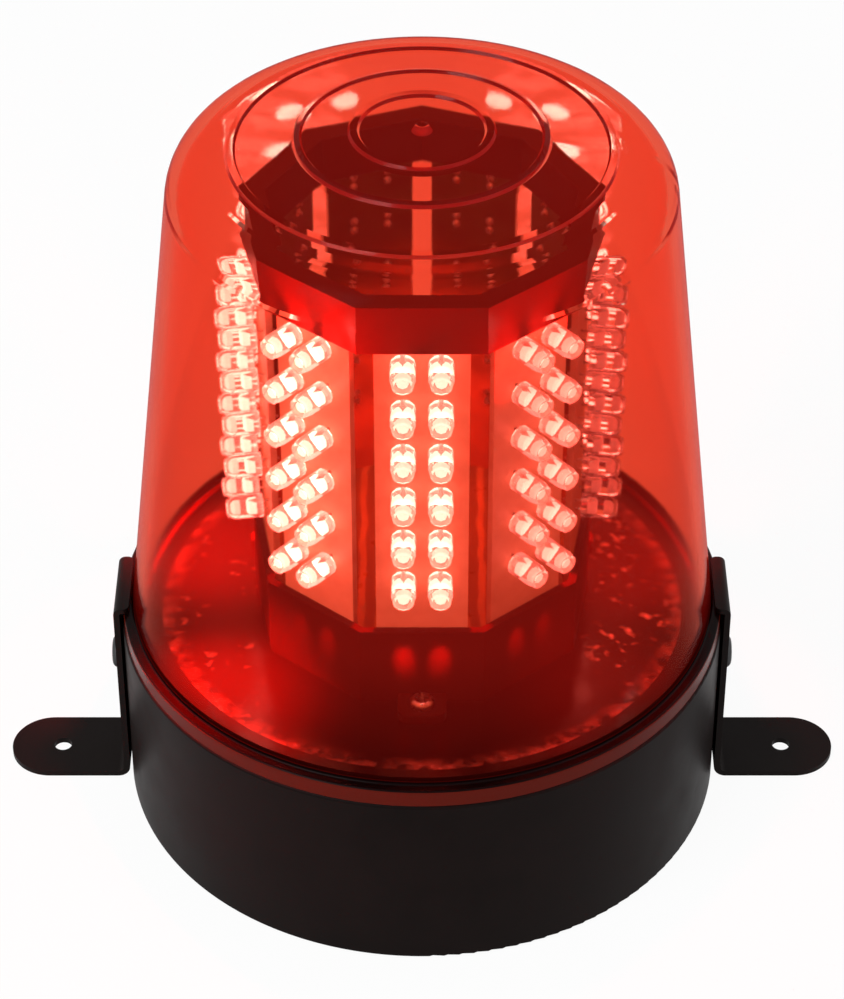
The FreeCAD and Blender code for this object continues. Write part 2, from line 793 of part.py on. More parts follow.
def foot_end(drawing, foot_tip, half):
    """What is cut away outside the half-round end of a bracket's foot."""
    centre = foot_tip - half
    past = foot_tip + half
    sketch = drawing.sketch
    middle = FreeCAD.Vector(centre.value, 0, 0)
    upright = FreeCAD.Vector(0, 0, 1)
    round_end = Part.ArcOfCircle(
        Part.Circle(middle, upright, half.value), -math.pi / 2, math.pi / 2
    )
    arc = sketch.addGeometry(round_end, False)
    stops = [
        FreeCAD.Vector(centre.value, half.value, 0),
        FreeCAD.Vector(past.value, half.value, 0),
        FreeCAD.Vector(past.value, -half.value, 0),
        FreeCAD.Vector(centre.value, -half.value, 0),
    ]
    lines = [
        sketch.addGeometry(Part.LineSegment(start, end), False)
        for start, end in zip(stops, stops[1:])
    ]
    sketch.addConstraint(
        [
            Sketcher.Constraint("Coincident", arc, 2, lines[0], 1),
            Sketcher.Constraint("Coincident", lines[0], 2, lines[1], 1),
            Sketcher.Constraint("Coincident", lines[1], 2, lines[2], 1),
            Sketcher.Constraint("Coincident", lines[2], 2, arc, 1),
            Sketcher.Constraint("Horizontal", lines[0]),
            Sketcher.Constraint("Vertical", lines[1]),
            Sketcher.Constraint("Horizontal", lines[2]),
            Sketcher.Constraint("Vertical", arc, 1, arc, 2),
        ]
    )
    drawing.locate(arc, 3, centre, as_size(0))
    drawing.dimension("Radius", (arc,), half)
    drawing.dimension("DistanceX", (-1, 1, lines[1], 1), past)


def upright_edges(shape, x):
    """Names of the straight vertical edges that stand at one x."""
    names = []
    for index, edge in enumerate(shape.Edges, start=1):
        ends = [vertex.Point for vertex in edge.Vertexes]
        if len(ends) == 2 and all(abs(end.x - x) < TOUCH for end in ends):
            if abs(ends[0].y - ends[1].y) < TOUCH:
                names.append(f"Edge{index}")
    return names


def bracket_screw(doc, s, at, label, side):
    """Pan-head screw through the strap and the wall into the nut."""
    body = new_body(doc, label)
    head = (
        s.bracket_screw_head_radius,
        s.bracket_screw_head_height,
        s.bracket_screw_head_round,
        s.bracket_screw_cross_reach,
    )
    pan_screw(body, s, head, (s.bracket_screw_radius, s.bracket_screw_length))
    outward = FreeCAD.Rotation(FreeCAD.Vector(0, 1, 0), 90 * side)
    body.Placement = FreeCAD.Placement(FreeCAD.Vector(), outward)
    body.setExpression("Placement.Base.x", (at.strap_outer * side).text)
    body.setExpression("Placement.Base.z", s.bracket_screw_height.text)
    return body


def bracket_nut(doc, s, at, label, side):
    """Hexagon nut in the pocket behind the wall."""
    body = new_body(doc, label)
    plan = Drawing(body, "NutPlan", "YZ_Plane", lift=at.nut_seat * side)
    hexagon(plan, s.nut_across_flats, y=s.bracket_screw_height)
    plan.circle(0, s.bracket_screw_height, at.bolt_passage)
    pad(body, "Nut", plan, s.nut_thickness, reverse=side > 0)
    return body


def tower_pedestal(doc, s, at):
    """Nine-sided drum with a rebate for the boards and lugs that screw down to the deck."""
    body = new_body(doc, "tower_pedestal")
    sides = int(s.board_count.value)
    drum = Drawing(body, "DrumPlan", "XY_Plane", lift=at.deck_top)
    drum.polygon(sides, at.pedestal_side)
    pad(body, "Drum", drum, s.pedestal_height)
    rebate = Drawing(body, "RebatePlan", "XY_Plane", lift=at.pedestal_top)
    rebate.polygon(sides, at.board_front)
    pocket(body, "Rebate", rebate, s.pedestal_socket_depth + s.board_thickness)
    well = Drawing(body, "WellPlan", "XY_Plane", lift=at.pedestal_top)
    well.polygon(sides, at.board_front - s.pedestal_ledge_width)
    pocket(body, "Well", well, s.pedestal_height)
    skirt = Drawing(body, "SkirtPlan", "XY_Plane", lift=at.deck_top)
    skirt.polygon(sides, at.pedestal_side - s.pedestal_wall)
    skirt_height = at.collector_under - s.pedestal_ledge_thickness - at.deck_top
    pocket(body, "Skirt", skirt, skirt_height, reverse=True)
    root = at.pedestal_side - s.pedestal_wall / 2
    reach = at.pedestal_side + s.lug_length
    half = s.lug_width / 2
    lug = Drawing(body, "LugPlan", "XY_Plane", lift=at.deck_top)
    lug.outline(
        [
            (-half, -root),
            (-half, -reach, s.lug_round),
            (half, -reach, s.lug_round),
            (half, -root),
        ]
    )
    lugs = pad(body, "Lug", lug, s.lug_thickness)
    hole = Drawing(body, "LugHolePlan", "XY_Plane", lift=at.deck_top)
    hole.circle(0, -at.lug_hole, s.screw_passage_radius)
    holes = pocket(body, "LugHole", hole, s.lug_thickness, reverse=True)
    repeat_round(body, "Lugs", [lugs, holes], s.lug_count)
    return body


def pedestal_screws(doc, s, at):
    """Pan-head screws through the pedestal's lugs."""
    body = new_body(doc, "pedestal_screws")
    seat = at.deck_top + s.lug_thickness
    screw = small_screw(body, s, seat, 0, -at.lug_hole, 1)
    repeat_round(body, "Screws", screw, s.lug_count)
    return body


def collector_board(doc, s, at):
    """Nine-sided circuit board on the pedestal's ledge, under the ends of the LED boards."""
    body = new_body(doc, "collector_board")
    plan = Drawing(body, "BoardPlan", "XY_Plane", lift=at.collector_under)
    plan.polygon(int(s.board_count.value), s.board_apothem)
    pad(body, "Board", plan, s.board_thickness)
    return body


def led_board(doc, s, at, label, turn):
    """Upright circuit board, drilled for the leads of its LEDs."""
    body = new_body(doc, label, turn)
    half = s.board_width / 2
    face = Drawing(body, "BoardFace", "XZ_Plane", lift=at.board_back)
    face.rectangle(-half, half, at.collector_top, at.board_top)
    pad(body, "Board", face, s.board_thickness)
    column = -s.led_column_pitch / 2
    holes = Drawing(body, "LeadHoles", "XZ_Plane", lift=s.board_apothem)
    for side in (-1, 1):
        lead = at.led_row + s.led_lead_pitch / 2 * side
        holes.circle(column, lead, s.led_lead_radius + s.fit_gap)
    drilled = pocket(body, "LeadHole", holes, s.board_thickness)
    repeat_leds(body, s, [drilled])
    return body


def leds(doc, s, at, label, turn):
    """The LEDs of one board: domed bodies that stand off the board on two leads each."""
    body = new_body(doc, label, turn)
    column = -s.led_column_pitch / 2
    seat = s.board_apothem + s.led_standoff
    tip = seat + s.led_length
    flange = s.led_body_radius + s.led_flange_lip
    shade = Drawing(body, "LedSection", "XY_Plane", lift=at.led_row, shift=(column, 0))
    shade.outline(
        [
            (0, -seat),
            (flange, -seat),
            (flange, -seat - s.led_flange_thickness),
            (s.led_body_radius, -seat - s.led_flange_thickness),
            (s.led_body_radius, -tip, s.led_dome_round),
            (0, -tip),
        ]
    )
    dome = revolve(body, "Led", shade)
    pins = Drawing(body, "LeadPlan", "XZ_Plane", lift=seat)
    for side in (-1, 1):
        pins.circle(column, at.led_row + s.led_lead_pitch / 2 * side, s.led_lead_radius)
    reach = s.led_standoff + s.board_thickness + s.led_lead_tail
    wires = pad(body, "Leads", pins, reach, reverse=True)
    repeat_leds(body, s, [dome, wires])
    return body


def repeat_leds(body, s, originals):
    repeat_grid(
        body,
        "LedGrid",
        originals,
        ("X_Axis", s.led_columns, s.led_column_pitch),
        ("Z_Axis", s.led_rows, s.led_row_pitch),
    )


def tower_top_ring(doc, s, at):
    """Nine-sided channel that caps the upper ends of the LED boards."""
    body = new_body(doc, "tower_top_ring")
    sides = int(s.board_count.value)
    channel_inner = at.board_back - s.fit_gap
    top = at.board_top + s.ring_web
    plan = Drawing(body, "RingPlan", "XY_Plane", lift=top - s.ring_height)
    plan.polygon(sides, at.board_front + s.ring_wall)
    plan.polygon(sides, channel_inner - s.ring_wall)
    pad(body, "Ring", plan, s.ring_height)
    channel = Drawing(body, "ChannelPlan", "XY_Plane", lift=top - s.ring_height)
    channel.polygon(sides, at.board_front)
    channel.polygon(sides, channel_inner)
    pocket(body, "Channel", channel, s.ring_height - s.ring_web, reverse=True)
    return body


def control_board(doc, s, at):
    """Circuit board that hangs under the deck on four standoffs."""
    body = new_body(doc, "control_board")
    half_x = s.control_board_length / 2
    half_y = s.control_board_width / 2
    plan = Drawing(body, "BoardPlan", "XY_Plane", lift=at.control_under)
    plan.outline(
        [
            (-half_x, -half_y, s.control_board_round),
            (half_x, -half_y, s.control_board_round),
            (half_x, half_y, s.control_board_round),
            (-half_x, half_y, s.control_board_round),
        ]
    )
    for side_x in (-1, 1):
        for side_y in (-1, 1):
            x = s.control_hole_pitch_x / 2 * side_x
            y = s.control_hole_pitch_y / 2 * side_y
            plan.circle(x, y, s.screw_passage_radius)
    pad(body, "Board", plan, s.board_thickness)
    return body


def control_board_screws(doc, s, at):
    """Screws up through the control board into the standoffs."""
    body = new_body(doc, "control_board_screws")
    near_x = -s.control_hole_pitch_x / 2
    near_y = -s.control_hole_pitch_y / 2
    screw = small_screw(body, s, at.control_under, near_x, near_y, -1)
    repeat_corners(body, "Screws", screw, s)
    return body


def power_terminal(doc, s, at):
    """Two-way terminal under the control board, with its wire mouths to the rear."""
    body = new_body(doc, "power_terminal")
    front = s.terminal_rear_y - s.terminal_width
    low = at.control_under - s.terminal_height
    side = Drawing(body, "TerminalSection", "YZ_Plane")
    side.outline(
        [
            (front, at.control_under),
            (front, low),
            (s.terminal_rear_y - s.terminal_chamfer, low),
            (s.terminal_rear_y, low + s.terminal_chamfer),
            (s.terminal_rear_y, at.control_under),
        ]
    )
    pad(body, "Block", side, s.terminal_length, symmetric=True)
    mouths = Drawing(body, "MouthPlan", "XZ_Plane", lift=-s.terminal_rear_y)
    for turn in (-1, 1):
        x = s.terminal_wire_pitch / 2 * turn
        z = at.control_under - s.terminal_wire_drop
        mouths.circle(x, z, s.lead_radius + s.fit_gap)
    pocket(body, "Mouths", mouths, s.terminal_wire_depth, reverse=True)
    return body


def smoothing_capacitor(doc, s, at):
    """Round can capacitor with the groove near its foot."""
    body = new_body(doc, "smoothing_capacitor", at=(s.capacitor_x, s.capacitor_y, at.control_under))
    groove = s.capacitor_radius - s.capacitor_groove_depth
    drop = s.capacitor_groove_drop
    section = Drawing(body, "CanSection", "XZ_Plane")
    section.outline(
        [
            (0, 0),
            (s.capacitor_radius, 0),
            (s.capacitor_radius, s.capacitor_groove_depth - drop),
            (groove, -drop),
            (s.capacitor_radius, -drop - s.capacitor_groove_depth),
            (s.capacitor_radius, -s.capacitor_height, s.capacitor_rim_round),
            (0, -s.capacitor_height),
        ]
    )
    revolve(body, "Can", section)
    return body


def voltage_regulator(doc, s, at):
    """Regulator standing on the board, with its drilled metal tab."""
    body = new_body(doc, "voltage_regulator", at=(s.regulator_x, s.regulator_y, at.control_under))
    half = s.regulator_width / 2
    block = Drawing(body, "BlockFace", "XZ_Plane")
    block.rectangle(-half, half, -s.regulator_body_height, 0)
    pad(body, "Block", block, s.regulator_body_thickness)
    tab = Drawing(body, "TabFace", "XZ_Plane")
    tab.rectangle(-half, half, -s.regulator_tab_height, 0)
    tab.circle(0, (s.regulator_tab_height + s.regulator_body_height) / -2, s.regulator_hole_radius)
    pad(body, "Tab", tab, s.regulator_tab_thickness)
    return body


def driver_chips(doc, s, at):
    """Row of driver chips under the control board, each with its end notch."""
    body = new_body(doc, "driver_chips")
    first = (s.chip_count - 1) * s.chip_pitch / -2
    low = at.control_under - s.chip_height
    plan = Drawing(body, "ChipPlan", "XY_Plane", lift=low, shift=(first, s.chip_row_y))
    half_x = s.chip_length / 2
    half_y = s.chip_width / 2
    plan.rectangle(-half_x, half_x, -half_y, half_y)
    block = pad(body, "Chip", plan, s.chip_height)
    notch_plan = Drawing(body, "NotchPlan", "XY_Plane", lift=low, shift=(first, s.chip_row_y))
    notch_plan.circle(-half_x, 0, s.chip_notch_radius)
    notch = pocket(body, "Notch", notch_plan, s.chip_notch_depth, reverse=True)
    repeat_grid(
        body,
        "Chips",
        [block, notch],
        ("X_Axis", s.chip_count, s.chip_pitch),
        ("Y_Axis", as_size(1), s.chip_width),
    )
    return body


def ribbon_header(doc, s, label, y, seat, rise):
    """Open box header on a circuit board; rise is +1 for upwards and -1 for downwards."""
    body = new_body(doc, label)
    half_x = s.header_length / 2
    half_y = s.header_width / 2
    shell = Drawing(body, "HeaderPlan", "XY_Plane", lift=seat, shift=(0, y))
    shell.rectangle(-half_x, half_x, -half_y, half_y)
    pad(body, "Header", shell, s.header_height, reverse=rise < 0)
    cavity = Drawing(body, "CavityPlan", "XY_Plane", lift=seat + s.header_height * rise, shift=(0, y))
    inner_x = half_x - s.header_wall
    inner_y = half_y - s.header_wall
    cavity.rectangle(-inner_x, inner_x, -inner_y, inner_y)
    pocket(body, "Cavity", cavity, s.header_height - s.header_wall, reverse=rise < 0)
    return body


def ribbon_plug(doc, s, label, y, seat, rise):
    """Plug that sits in a header and holds one end of the ribbon cable."""
    body = new_body(doc, label)
    half_x = s.header_length / 2 - s.header_wall - s.fit_gap
    half_y = s.header_width / 2 - s.header_wall - s.fit_gap
    plan = Drawing(body, "PlugPlan", "XY_Plane", lift=seat + s.header_wall * rise, shift=(0, y))
    plan.rectangle(-half_x, half_x, -half_y, half_y)
    pad(body, "Plug", plan, s.plug_height, reverse=rise < 0)
    return body


def ribbon_cable(doc, s, at):
    """Flat cable that steps sideways as it passes up through the deck."""
    body = new_body(doc, "ribbon_cable")
    low = at.control_top + at.plug_reach
    high = at.collector_under - at.plug_reach
    left = -s.ribbon_shift / 2
    right = s.ribbon_shift / 2
    route = Drawing(body, "RibbonRoute", "YZ_Plane")
    route.outline(
        [
            (left, low),
            (left, low + s.ribbon_lead, s.ribbon_bend_radius),
            (right, high - s.ribbon_lead, s.ribbon_bend_radius),
            (right, high),
        ],
        closed=False,
    )
    half_x = s.ribbon_width / 2
    half_y = s.ribbon_thickness / 2
    profile = Drawing(body, "RibbonSection", "XY_Plane", lift=low, shift=(0, left))
    profile.rectangle(-half_x, half_x, -half_y, half_y)
    sweep(body, "Ribbon", profile, route)
    return body


def sweep(body, name, profile, route):
    feature = body.newObject("PartDesign::AdditivePipe", name)
    feature.Profile = profile.sketch
    feature.Spine = route.sketch
    return feature


def power_socket(doc, s, at):
    """Round socket with a centre pin, built along Z and turned to face the rear."""
    body = new_body(doc, "power_socket")
    bore_floor = s.socket_flange_thickness - s.socket_bore_depth
    section = Drawing(body, "SocketSection", "XZ_Plane")
    section.outline(
        [
            (0, -s.socket_barrel_length),
            (s.socket_barrel_radius, -s.socket_barrel_length),
            (s.socket_barrel_radius, 0),
            (s.socket_flange_radius, 0),
            (s.socket_flange_radius, s.socket_flange_thickness),
            (s.socket_bore_radius, s.socket_flange_thickness),
            (s.socket_bore_radius, bore_floor),
            (s.socket_pin_radius, bore_floor),
            (s.socket_pin_radius, bore_floor + s.socket_pin_length, s.socket_pin_round),
            (0, bore_floor + s.socket_pin_length),
        ]
    )
    revolve(body, "Socket", section)
    tags = Drawing(body, "SolderTagPlan", "XY_Plane", lift=-s.socket_barrel_length)
    for side in (-1, 1):
        middle = s.terminal_wire_pitch / 2 * side
        tags.rectangle(
            middle - s.socket_lug_width / 2,
            middle + s.socket_lug_width / 2,
            -s.socket_lug_thickness / 2,
            s.socket_lug_thickness / 2,
        )
    pad(body, "SolderTags", tags, s.socket_lug_length, reverse=True)
    face_rear(body, s, at.socket_seat)
    return body


def socket_nut(doc, s, at):
    """Hexagon nut that clamps the socket from inside the wall."""
    body = new_body(doc, "socket_nut")
    plan = Drawing(body, "NutPlan", "XY_Plane")
    hexagon(plan, s.socket_nut_across_flats)
    plan.circle(0, 0, s.socket_barrel_radius + s.fit_gap)
    pad(body, "Nut", plan, s.socket_nut_thickness, reverse=True)
    face_rear(body, s, at.socket_panel)
    return body


def face_rear(body, s, seat):
    """Turn a piece built along Z to point at +Y, with its z = 0 on the seat."""
    rearward = FreeCAD.Rotation(FreeCAD.Vector(1, 0, 0), -90)
    body.Placement = FreeCAD.Placement(FreeCAD.Vector(), rearward)
    body.setExpression("Placement.Base.y", seat.text)
    body.setExpression("Placement.Base.z", s.socket_height.text)


def power_lead(doc, s, at, label, side):
    """Insulated lead from one solder tag of the socket to one mouth of the terminal."""
    body = new_body(doc, label, at=(s.terminal_wire_pitch / 2 * side, 0, 0))
    start = at.socket_seat - s.socket_barrel_length - s.socket_lug_length
    end = s.terminal_rear_y - s.terminal_wire_depth
    high = at.control_under - s.terminal_wire_drop
    rise_start = start - s.lead_straight
    rise_end = s.terminal_rear_y + s.lead_straight
    route = Drawing(body, "LeadRoute", "YZ_Plane")
    route.outline(
        [
            (start, s.socket_height),
            (rise_start, s.socket_height, s.lead_bend_radius),
            (rise_end, high, s.lead_bend_radius),
            (end, high),
        ],
        closed=False,
    )
    profile = Drawing(body, "LeadSection", "XZ_Plane", lift=-start)
    profile.circle(0, s.socket_height, s.lead_radius)
    sweep(body, "Lead", profile, route)
    return body


def build(doc):
    """Every sub-part of the beacon, from the base upwards."""
    s = SizeSheet(doc)
    at = Levels(s)
    lower_y = -s.ribbon_shift / 2
    upper_y = s.ribbon_shift / 2
    parts = [
        base_housing(doc, s, at),
        bottom_cover(doc, s, at),
        cover_screws(doc, s, at),
        lens_gasket(doc, s, at),
        lens_cover(doc, s, at),
        power_socket(doc, s, at),
        socket_nut(doc, s, at),
        power_lead(doc, s, at, "power_lead_positive", 1),
        power_lead(doc, s, at, "power_lead_negative", -1),
        control_board(doc, s, at),
        control_board_screws(doc, s, at),
        power_terminal(doc, s, at),
        smoothing_capacitor(doc, s, at),
        voltage_regulator(doc, s, at),
        driver_chips(doc, s, at),
        ribbon_header(doc, s, "ribbon_header_lower", lower_y, at.control_top, 1),
        ribbon_header(doc, s, "ribbon_header_upper", upper_y, at.collector_under, -1),
        ribbon_plug(doc, s, "ribbon_plug_lower", lower_y, at.control_top, 1),
        ribbon_plug(doc, s, "ribbon_plug_upper", upper_y, at.collector_under, -1),
        ribbon_cable(doc, s, at),
        tower_pedestal(doc, s, at),
        pedestal_screws(doc, s, at),
        collector_board(doc, s, at),
        tower_top_ring(doc, s, at),
    ]
    for name, side in (("right", 1), ("left", -1)):
        parts.append(bracket(doc, s, at, f"bracket_{name}", 90 - 90 * side))
        parts.append(bracket_screw(doc, s, at, f"bracket_screw_{name}", side))
        parts.append(bracket_nut(doc, s, at, f"bracket_nut_{name}", side))
    boards = int(s.board_count.value)
    for index in range(boards):
        turn = 360.0 * index / boards
        parts.append(led_board(doc, s, at, f"led_board_{index + 1}", turn))
        parts.append(leds(doc, s, at, f"leds_{index + 1}", turn))
    return parts


def check(doc, parts):
    """Stop if any object failed or any sub-part has no valid shape."""
    for item in doc.Objects:
        if "Invalid" in item.State or "Error" in item.State:
            raise RuntimeError(f"{item.Name} failed: {item.State}")
    for part in parts:
        if part.Shape.isNull() or not part.Shape.isValid() or not part.Shape.Solids:
            raise RuntimeError(f"{part.Label} has no valid solid")


def main():
    doc = FreeCAD.newDocument("LedBeacon")
    parts = build(doc)
    doc.recompute()
    check(doc, parts)
    os.makedirs("parts", exist_ok=True)
    for part in parts:
        part.Shape.exportStep(f"parts/{part.Label}.step")
        print(f"{part.Label}: {len(part.Shape.Solids)} solids, {part.Shape.Volume:.1f} mm3")


main()
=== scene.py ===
"""LED beacon: finishes for the CAD nodes, the LEDs and their solder joints, and a white studio."""

import math

import bmesh
import bpy
from bpy.props import FloatProperty, FloatVectorProperty, IntProperty, PointerProperty
from mathutils import Matrix, Vector


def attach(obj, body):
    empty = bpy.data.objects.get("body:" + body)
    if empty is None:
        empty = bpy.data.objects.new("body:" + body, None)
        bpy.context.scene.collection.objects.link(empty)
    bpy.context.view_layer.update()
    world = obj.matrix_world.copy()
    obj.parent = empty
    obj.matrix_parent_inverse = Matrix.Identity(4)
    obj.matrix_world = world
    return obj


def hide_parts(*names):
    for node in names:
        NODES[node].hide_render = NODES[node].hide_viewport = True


bl_info = {
    "name": "LED Beacon",
    "version": (1, 0, 0),
    "blender": (4, 5, 0),
    "location": "View3D > Sidebar > Beacon",
    "description": "Finishes, LEDs and studio for a red LED beacon on a black base",
    "category": "Object",
}

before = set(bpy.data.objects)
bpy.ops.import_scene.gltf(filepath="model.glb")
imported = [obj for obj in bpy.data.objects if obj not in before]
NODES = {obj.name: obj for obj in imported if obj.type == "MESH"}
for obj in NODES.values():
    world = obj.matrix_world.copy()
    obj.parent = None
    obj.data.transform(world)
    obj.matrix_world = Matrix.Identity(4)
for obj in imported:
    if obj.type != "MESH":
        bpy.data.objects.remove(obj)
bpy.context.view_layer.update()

MM = 0.001
BOARD_COUNT = 9
BOARD_STEP = 2 * math.pi / BOARD_COUNT
# How bright the LEDs of a board are, for boards that differ from the rest.
BOARD_LEVELS = {2: 0.5, 3: 0.04, 8: 0.85, 9: 1.3}
# A point inside the lens, which tells its outer faces from its inner ones.
LENS_HEART = (0.0, 0.0, 0.1)
# The tower's axis, and the directions across it.
AXIS = (0.0, 0.0, 0.0)
ACROSS = (1.0, 1.0, 0.0)
# Patterns on the deck, in waves per metre.
RIPPLE_WAVES = 260.0
CLUMP_WAVES = 70.0
SPECK_WAVES = 420.0
# Colour of the lamps that stand for the LEDs' light on what is inside the lens.
LAMP_RED = (1.0, 0.015, 0.012)


def length(name, description, value):
    """A distance property, given in millimetres."""
    return FloatProperty(
        name=name, description=description, default=value * MM, min=0.0, unit="LENGTH", subtype="DISTANCE"
    )


def share(name, description, value):
    """A factor property between nought and one."""
    return FloatProperty(
        name=name, description=description, default=value, min=0.0, max=1.0, subtype="FACTOR"
    )


def amount(name, description, value):
    """A plain number property that isn't negative."""
    return FloatProperty(name=name, description=description, default=value, min=0.0)


def colour(name, description, value):
    """A colour property, in linear light."""
    return FloatVectorProperty(
        name=name, description=description, default=value, size=3, min=0.0, max=1.0, subtype="COLOR"
    )


class BeaconLens(bpy.types.PropertyGroup):
    """The lens cover's plastic."""

    tint: colour("Tint", "Colour that the skin of one wall lets through", (0.91, 0.475, 0.365))
    depth: colour("Depth", "Colour that the plastic keeps in its depth", (0.84, 0.253, 0.077))
    density: amount("Density", "How fast the plastic takes the other colours, for each metre", 300.0)
    bend: amount("Bend", "Refractive index of the lens", 1.45)
    haze: share("Haze", "Roughness of the polished lens", 0.06)
    dull: share("Dullness", "Share of the surface seen straight on that mirrors nothing", 0.98)
    edge: share("Edge dullness", "Share of the outside seen edge on that mirrors nothing", 0.85)
    ribs_from: length("Ribs from", "Height above which steep faces are the crown's rib flanks", 183.0)
    glint: share("Glint", "Share of a rib's flank that mirrors as clear plastic does", 0.12)
    foot: colour("Foot", "Colour of the thick flange at the foot", (0.10, 0.008, 0.0035))
    foot_top: length("Foot top", "Height of the flange's upper edge", 54.1)
    foot_line: length("Foot line", "Height at which the dark line above the flange ends", 55.3)
    glow: colour("Glow", "Colour that the lens takes from the light inside", (1.0, 0.03, 0.02))
    glow_power: amount("Glow power", "Brightness of that glow on each side of a wall", 0.075)
    glow_low: share("Low glow", "Share of the glow that is left at the foot", 0.2)
    glow_rise: length("Glow rise", "Height over which the glow grows to its full power", 34.0)


class BeaconLeds(bpy.types.PropertyGroup):
    """The LEDs on the tower."""

    flange_radius: length("Flange radius", "Radius of the rim at an LED's foot", 2.9)
    flange_height: length("Flange height", "Height of that rim", 1.0)
    body_radius: length("Body radius", "Radius of an LED's body and dome", 2.5)
    body_length: length("Body length", "Length from foot to the tip of the dome", 8.7)
    seat: length("Seat", "How far a foot stands from the tower's axis", 39.6)
    column: length("Column", "How far a column stands from the board's middle", 4.25)
    first_row: length("First row", "Height of the lowest row", 90.3)
    row_pitch: length("Row pitch", "Height from row to row", 12.45)
    rows: IntProperty(name="Rows", description="Rows of LEDs on a board", default=6, min=1)
    lead_pitch: length("Lead pitch", "Distance between an LED's two leads", 2.54)
    lead_width: length("Lead width", "Width of a lead", 0.55)
    lead_drop: length("Lead drop", "How far the leads reach behind the foot", 4.4)
    board_drop: length("Board drop", "How far the board's back lies behind the foot", 3.2)
    chip_radius: length("Chip radius", "Radius of the lit chip in its cup", 1.45)
    image_radius: length("Image radius", "Radius of the chip's image under the dome", 1.2)
    light: colour("Light", "Colour of the lit chip, as a camera sees it", (1.0, 0.42, 0.46))
    power: amount("Power", "Brightness of the lit chip", 14.0)
    image: amount("Image", "Brightness of the chip's image under the dome", 9.0)
    bloom: amount("Bloom", "Brightness that the light gives to the clear body", 0.55)
    rim: amount("Rim", "Brightness that the light gives to the rim at the foot", 1.5)
    mirror: amount("Mirror", "Brightness that the crown mirrors from a lit tip", 600.0)
    mirror_range: length("Mirror range", "Shortest way from a tip to the lens that mirrors it", 12.0)
    mirror_from: length("Mirrored from", "Height from which the crown mirrors the rows", 134.0)
    flash: colour("Flash", "Colour of that mirrored light, white behind the lens", (0.1, 0.42, 0.5))
    sideways: share("Sideways", "Share of the chip's brightness that goes out sideways", 0.7)
    # Painted light: the glow that a lit board's front gives off.
    front_glow: colour("Wash", "Colour that a lit board's front takes from its LEDs", (0.92, 0.40, 0.29))
    front_glow_power: amount("Wash power", "Brightness of that front", 0.27)


class BeaconHousing(bpy.types.PropertyGroup):
    """The base, its cover and the brackets."""

    plastic: colour("Plastic", "Black of the moulded base", (0.0075, 0.0044, 0.0040))
    steel: colour("Coating", "Black of the coated brackets", (0.0080, 0.0052, 0.0047))
    sheen: share("Sheen", "Roughness of the base", 0.42)
    deck: length("Deck", "Height from which the base is polished, inside the lens", 51.5)
    polish: share("Polish", "Roughness of the polished deck", 0.14)
    deck_edge: length("Deck edge", "Radius at which the deck turns dark towards its edge", 64.0)
    sparkle: amount("Sparkle", "Brightness of the specks of light at the sides of the deck", 1.2)
    sparkle_from: length("Sparkle from", "How far to each side of the middle the specks begin", 36.0)
    edge_light: amount("Edge light", "Brightness of the light in the bead near the deck's edge", 0.38)
    caught: colour("Caught light", "Colour of the light that the deck catches", (1.0, 0.16, 0.12))


class BeaconStage(bpy.types.PropertyGroup):
    """Camera, floor and light."""

    eye: FloatVectorProperty(
        name="Eye",
        description="Place of the camera",
        default=(0.0, -0.64554, 0.59185),
        subtype="TRANSLATION",
    )
    tilt: FloatProperty(
        name="Tilt",
        description="Angle of the camera from straight down",
        default=math.radians(51.722),
        subtype="ANGLE",
    )
    focal: amount("Focal length", "Focal length on a 36 mm sensor, in millimetres", 120.97)
    ambient: share("Ambient", "Light that the white surroundings give", 0.5)
    shadow: share("Shadow", "Share of the floor that takes the object's shadow", 0.06)


def add(tree, kind, **values):
    """A new node with these input values; an underscore in a name stands for a space."""
    made = tree.nodes.new(kind)
    for name, value in values.items():
        made.inputs[name.replace("_", " ")].default_value = value
    return made


def math_node(tree, operation, first, second=0.0, clamp=False):
    """The result of a Math node whose inputs are sockets or numbers."""
    made = tree.nodes.new("ShaderNodeMath")
    made.operation = operation
    made.use_clamp = clamp
    for socket, value in zip(made.inputs, (first, second)):
        if isinstance(value, bpy.types.NodeSocket):
            tree.links.new(value, socket)
        else:
            socket.default_value = value
    return made.outputs[0]


def new_finish(name):
    """A material, its node tree and its Principled shader."""
    material = bpy.data.materials.new(name)
    material.use_nodes = True
    tree = material.node_tree
    return material, tree, tree.nodes["Principled BSDF"]


def place(tree):
    """The object coordinates, in metres."""
    return tree.nodes.new("ShaderNodeTexCoord").outputs["Object"]


def noise(tree, where, scale, detail=3.0, roughness=0.55):
    """A noise pattern of so many waves per metre."""
    made = add(tree, "ShaderNodeTexNoise", Scale=scale, Detail=detail, Roughness=roughness)
    tree.links.new(where, made.inputs["Vector"])
    return made.outputs["Fac"]


def between(tree, source, low, high, start=0.3, end=0.7):
    """The source's middle range stretched to run from low to high."""
    made = add(tree, "ShaderNodeMapRange", From_Min=start, From_Max=end, To_Min=low, To_Max=high)
    tree.links.new(source, made.inputs["Value"])
    return made.outputs["Result"]


def parts_of(tree, where):
    """The three coordinates of a place."""
    parts = tree.nodes.new("ShaderNodeSeparateXYZ")
    tree.links.new(where, parts.inputs["Vector"])
    return parts.outputs


def height_of(tree, where):
    """The height of a place."""
    return parts_of(tree, where)["Z"]


def vector_node(tree, operation, first, second=None):
    """A Vector Math node whose inputs are sockets or triples."""
    made = tree.nodes.new("ShaderNodeVectorMath")
    made.operation = operation
    for socket, value in zip(made.inputs, (first, second)):
        if isinstance(value, bpy.types.NodeSocket):
            tree.links.new(value, socket)
        elif value is not None:
            socket.default_value = value
    return made


def radius_of(tree, where):
    """How far a place is from the upright axis."""
    flat = vector_node(tree, "MULTIPLY", where, ACROSS)
    return vector_node(tree, "LENGTH", flat.outputs["Vector"]).outputs["Value"]


